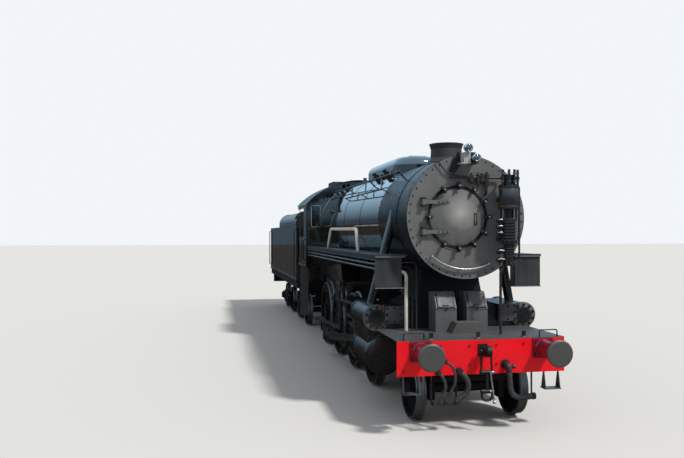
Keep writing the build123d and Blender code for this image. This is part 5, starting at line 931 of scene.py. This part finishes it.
for sign in (-1, 1):
    low, high = sorted((sign * window_inner_x, sign * window_outer_x))
    for x0, x1, z0, z1 in (
            (low - frame_width, low + frame_lap, window_low, window_high),
            (high - frame_lap, high + frame_width, window_low, window_high),
            (low - frame_width, high + frame_width, window_high - 0.018, window_high),
            (low - frame_width, high + frame_width, window_low, window_low + 0.018)):
        add_slab(frames, (x0, window_front, z0), (x1, window_back, z1), bevel=0.002)
    along = [behind(side_start + i * side_pitch) for i in range(post_rivets)]
    spots = [(sign * side_x, y, z) for y in along for z in (1.86, 2.50, 3.32)]
    spots += [(sign * side_x, along[0], 1.86 + i * side_pitch) for i in range(post_rivets)]
    spots += [(sign * side_x, behind(distance), 2.56 + i * side_pitch) for distance in post_places
              for i in range(13)]
    spots += [(sign * (0.95 + i * front_pitch), cab_front, 1.87) for i in range(6)]
    spots += [(sign * corner_x, cab_front, 1.87 + i * front_pitch) for i in range(post_rivets)]
    add_rivets(cab_rivets, spots, radius=0.0065)
finish_piece("cab_window_frames", frames, window_frame, "engine")
finish_piece("cab_rivets", cab_rivets, gloss_black, "engine")

# The tender: a riveted tank of glossy black plate with a coal bunker, and a filler with a hinged lid
# that has a ring of rivets round its edge.
tender_black = painted("tender_black", (0.020, 0.020, 0.021), (0.042, 0.041, 0.039), cover=0.6, patch=1.6,
                       smooth=0.08, rough=0.3, coat=0.9, shine=0.8)
wear(tender_black, "tender_tank", "tender_hatch_lid")
wear(satin_black, "tender_fittings")
tank_side_x, tank_front, tank_back, back_plate = 1.300, 10.33, 18.02, 18.033
bottom_row, bunker_row, tank_row, back_row = 1.42, 2.90, 2.78, 2.79
bunker_end, tank_row_start = 14.75, 14.8
panel_joints, joint_apart = (10.33, 11.87, 13.41, 14.95, 16.49, 18.0), 0.045
rivet_pitch, tank_rivet_r = 0.07, 0.0075
tender_rivets = bmesh.new()
for sign in (-1, 1):
    along = [tank_front + i * rivet_pitch for i in range(110)]
    spots = [(distance, bottom_row) for distance in along]
    spots += [(distance, bunker_row) for distance in along if distance <= bunker_end]
    spots += [(tank_row_start + i * rivet_pitch, tank_row) for i in range(46)]
    spots += [(distance + u, bottom_row + (i + 1) * rivet_pitch) for distance in panel_joints
              for i in range(18) for u in (0.0, joint_apart)]
    add_rivets(tender_rivets, [(sign * tank_side_x, behind(distance), z) for distance, z in spots
                               if distance < tank_back], tank_rivet_r)
add_rivets(tender_rivets, [(-1.25 + i * rivet_pitch, behind(back_plate), z) for i in range(37)
                           for z in (bottom_row, back_row)], tank_rivet_r)
finish_piece("tender_rivets", tender_rivets, tender_black, "tender")
lid_place, lid_ring_r, lid_top, lid_rivets = behind(16.9), 0.2, 2.952, 16
lid_rivet_heads = bmesh.new()
add_rivets(lid_rivet_heads, [(lid_ring_r * math.cos(i * math.tau / lid_rivets),
                              lid_place + lid_ring_r * math.sin(i * math.tau / lid_rivets), lid_top)
                             for i in range(lid_rivets)], radius=0.008)
finish_piece("hatch_lid_rivets", lid_rivet_heads, tender_black, "tender_hatch_lid")

# Axle box covers of the tender's bogies: round cast caps over the ends of the axles, with a bolt at
# each corner of the box.
box_face_x, box_bolts = 0.985, (-0.07, 0.07)
box_cap = [(0, 0.010), (0.045, 0.008), (0.052, 0.0), (0.052, -0.002), (0, -0.002)]
for bogie, places in (("bogie_front", tender_places[:2]), ("bogie_rear", tender_places[2:])):
    box_covers = bmesh.new()
    for distance in places:
        for sign in (-1, 1):
            face_x = sign * box_face_x
            add_bolts(box_covers, [(face_x, behind(distance) + u, carrier_z + v) for u in box_bolts
                                   for v in box_bolts], (sign, 0, 0), radius=0.013, height=0.014)
            add_turned(box_covers, box_cap, (face_x, behind(distance), carrier_z), (sign, 0, 0), steps=20)
    finish_piece(f"{bogie}_box_covers", box_covers, frame_black, bogie)

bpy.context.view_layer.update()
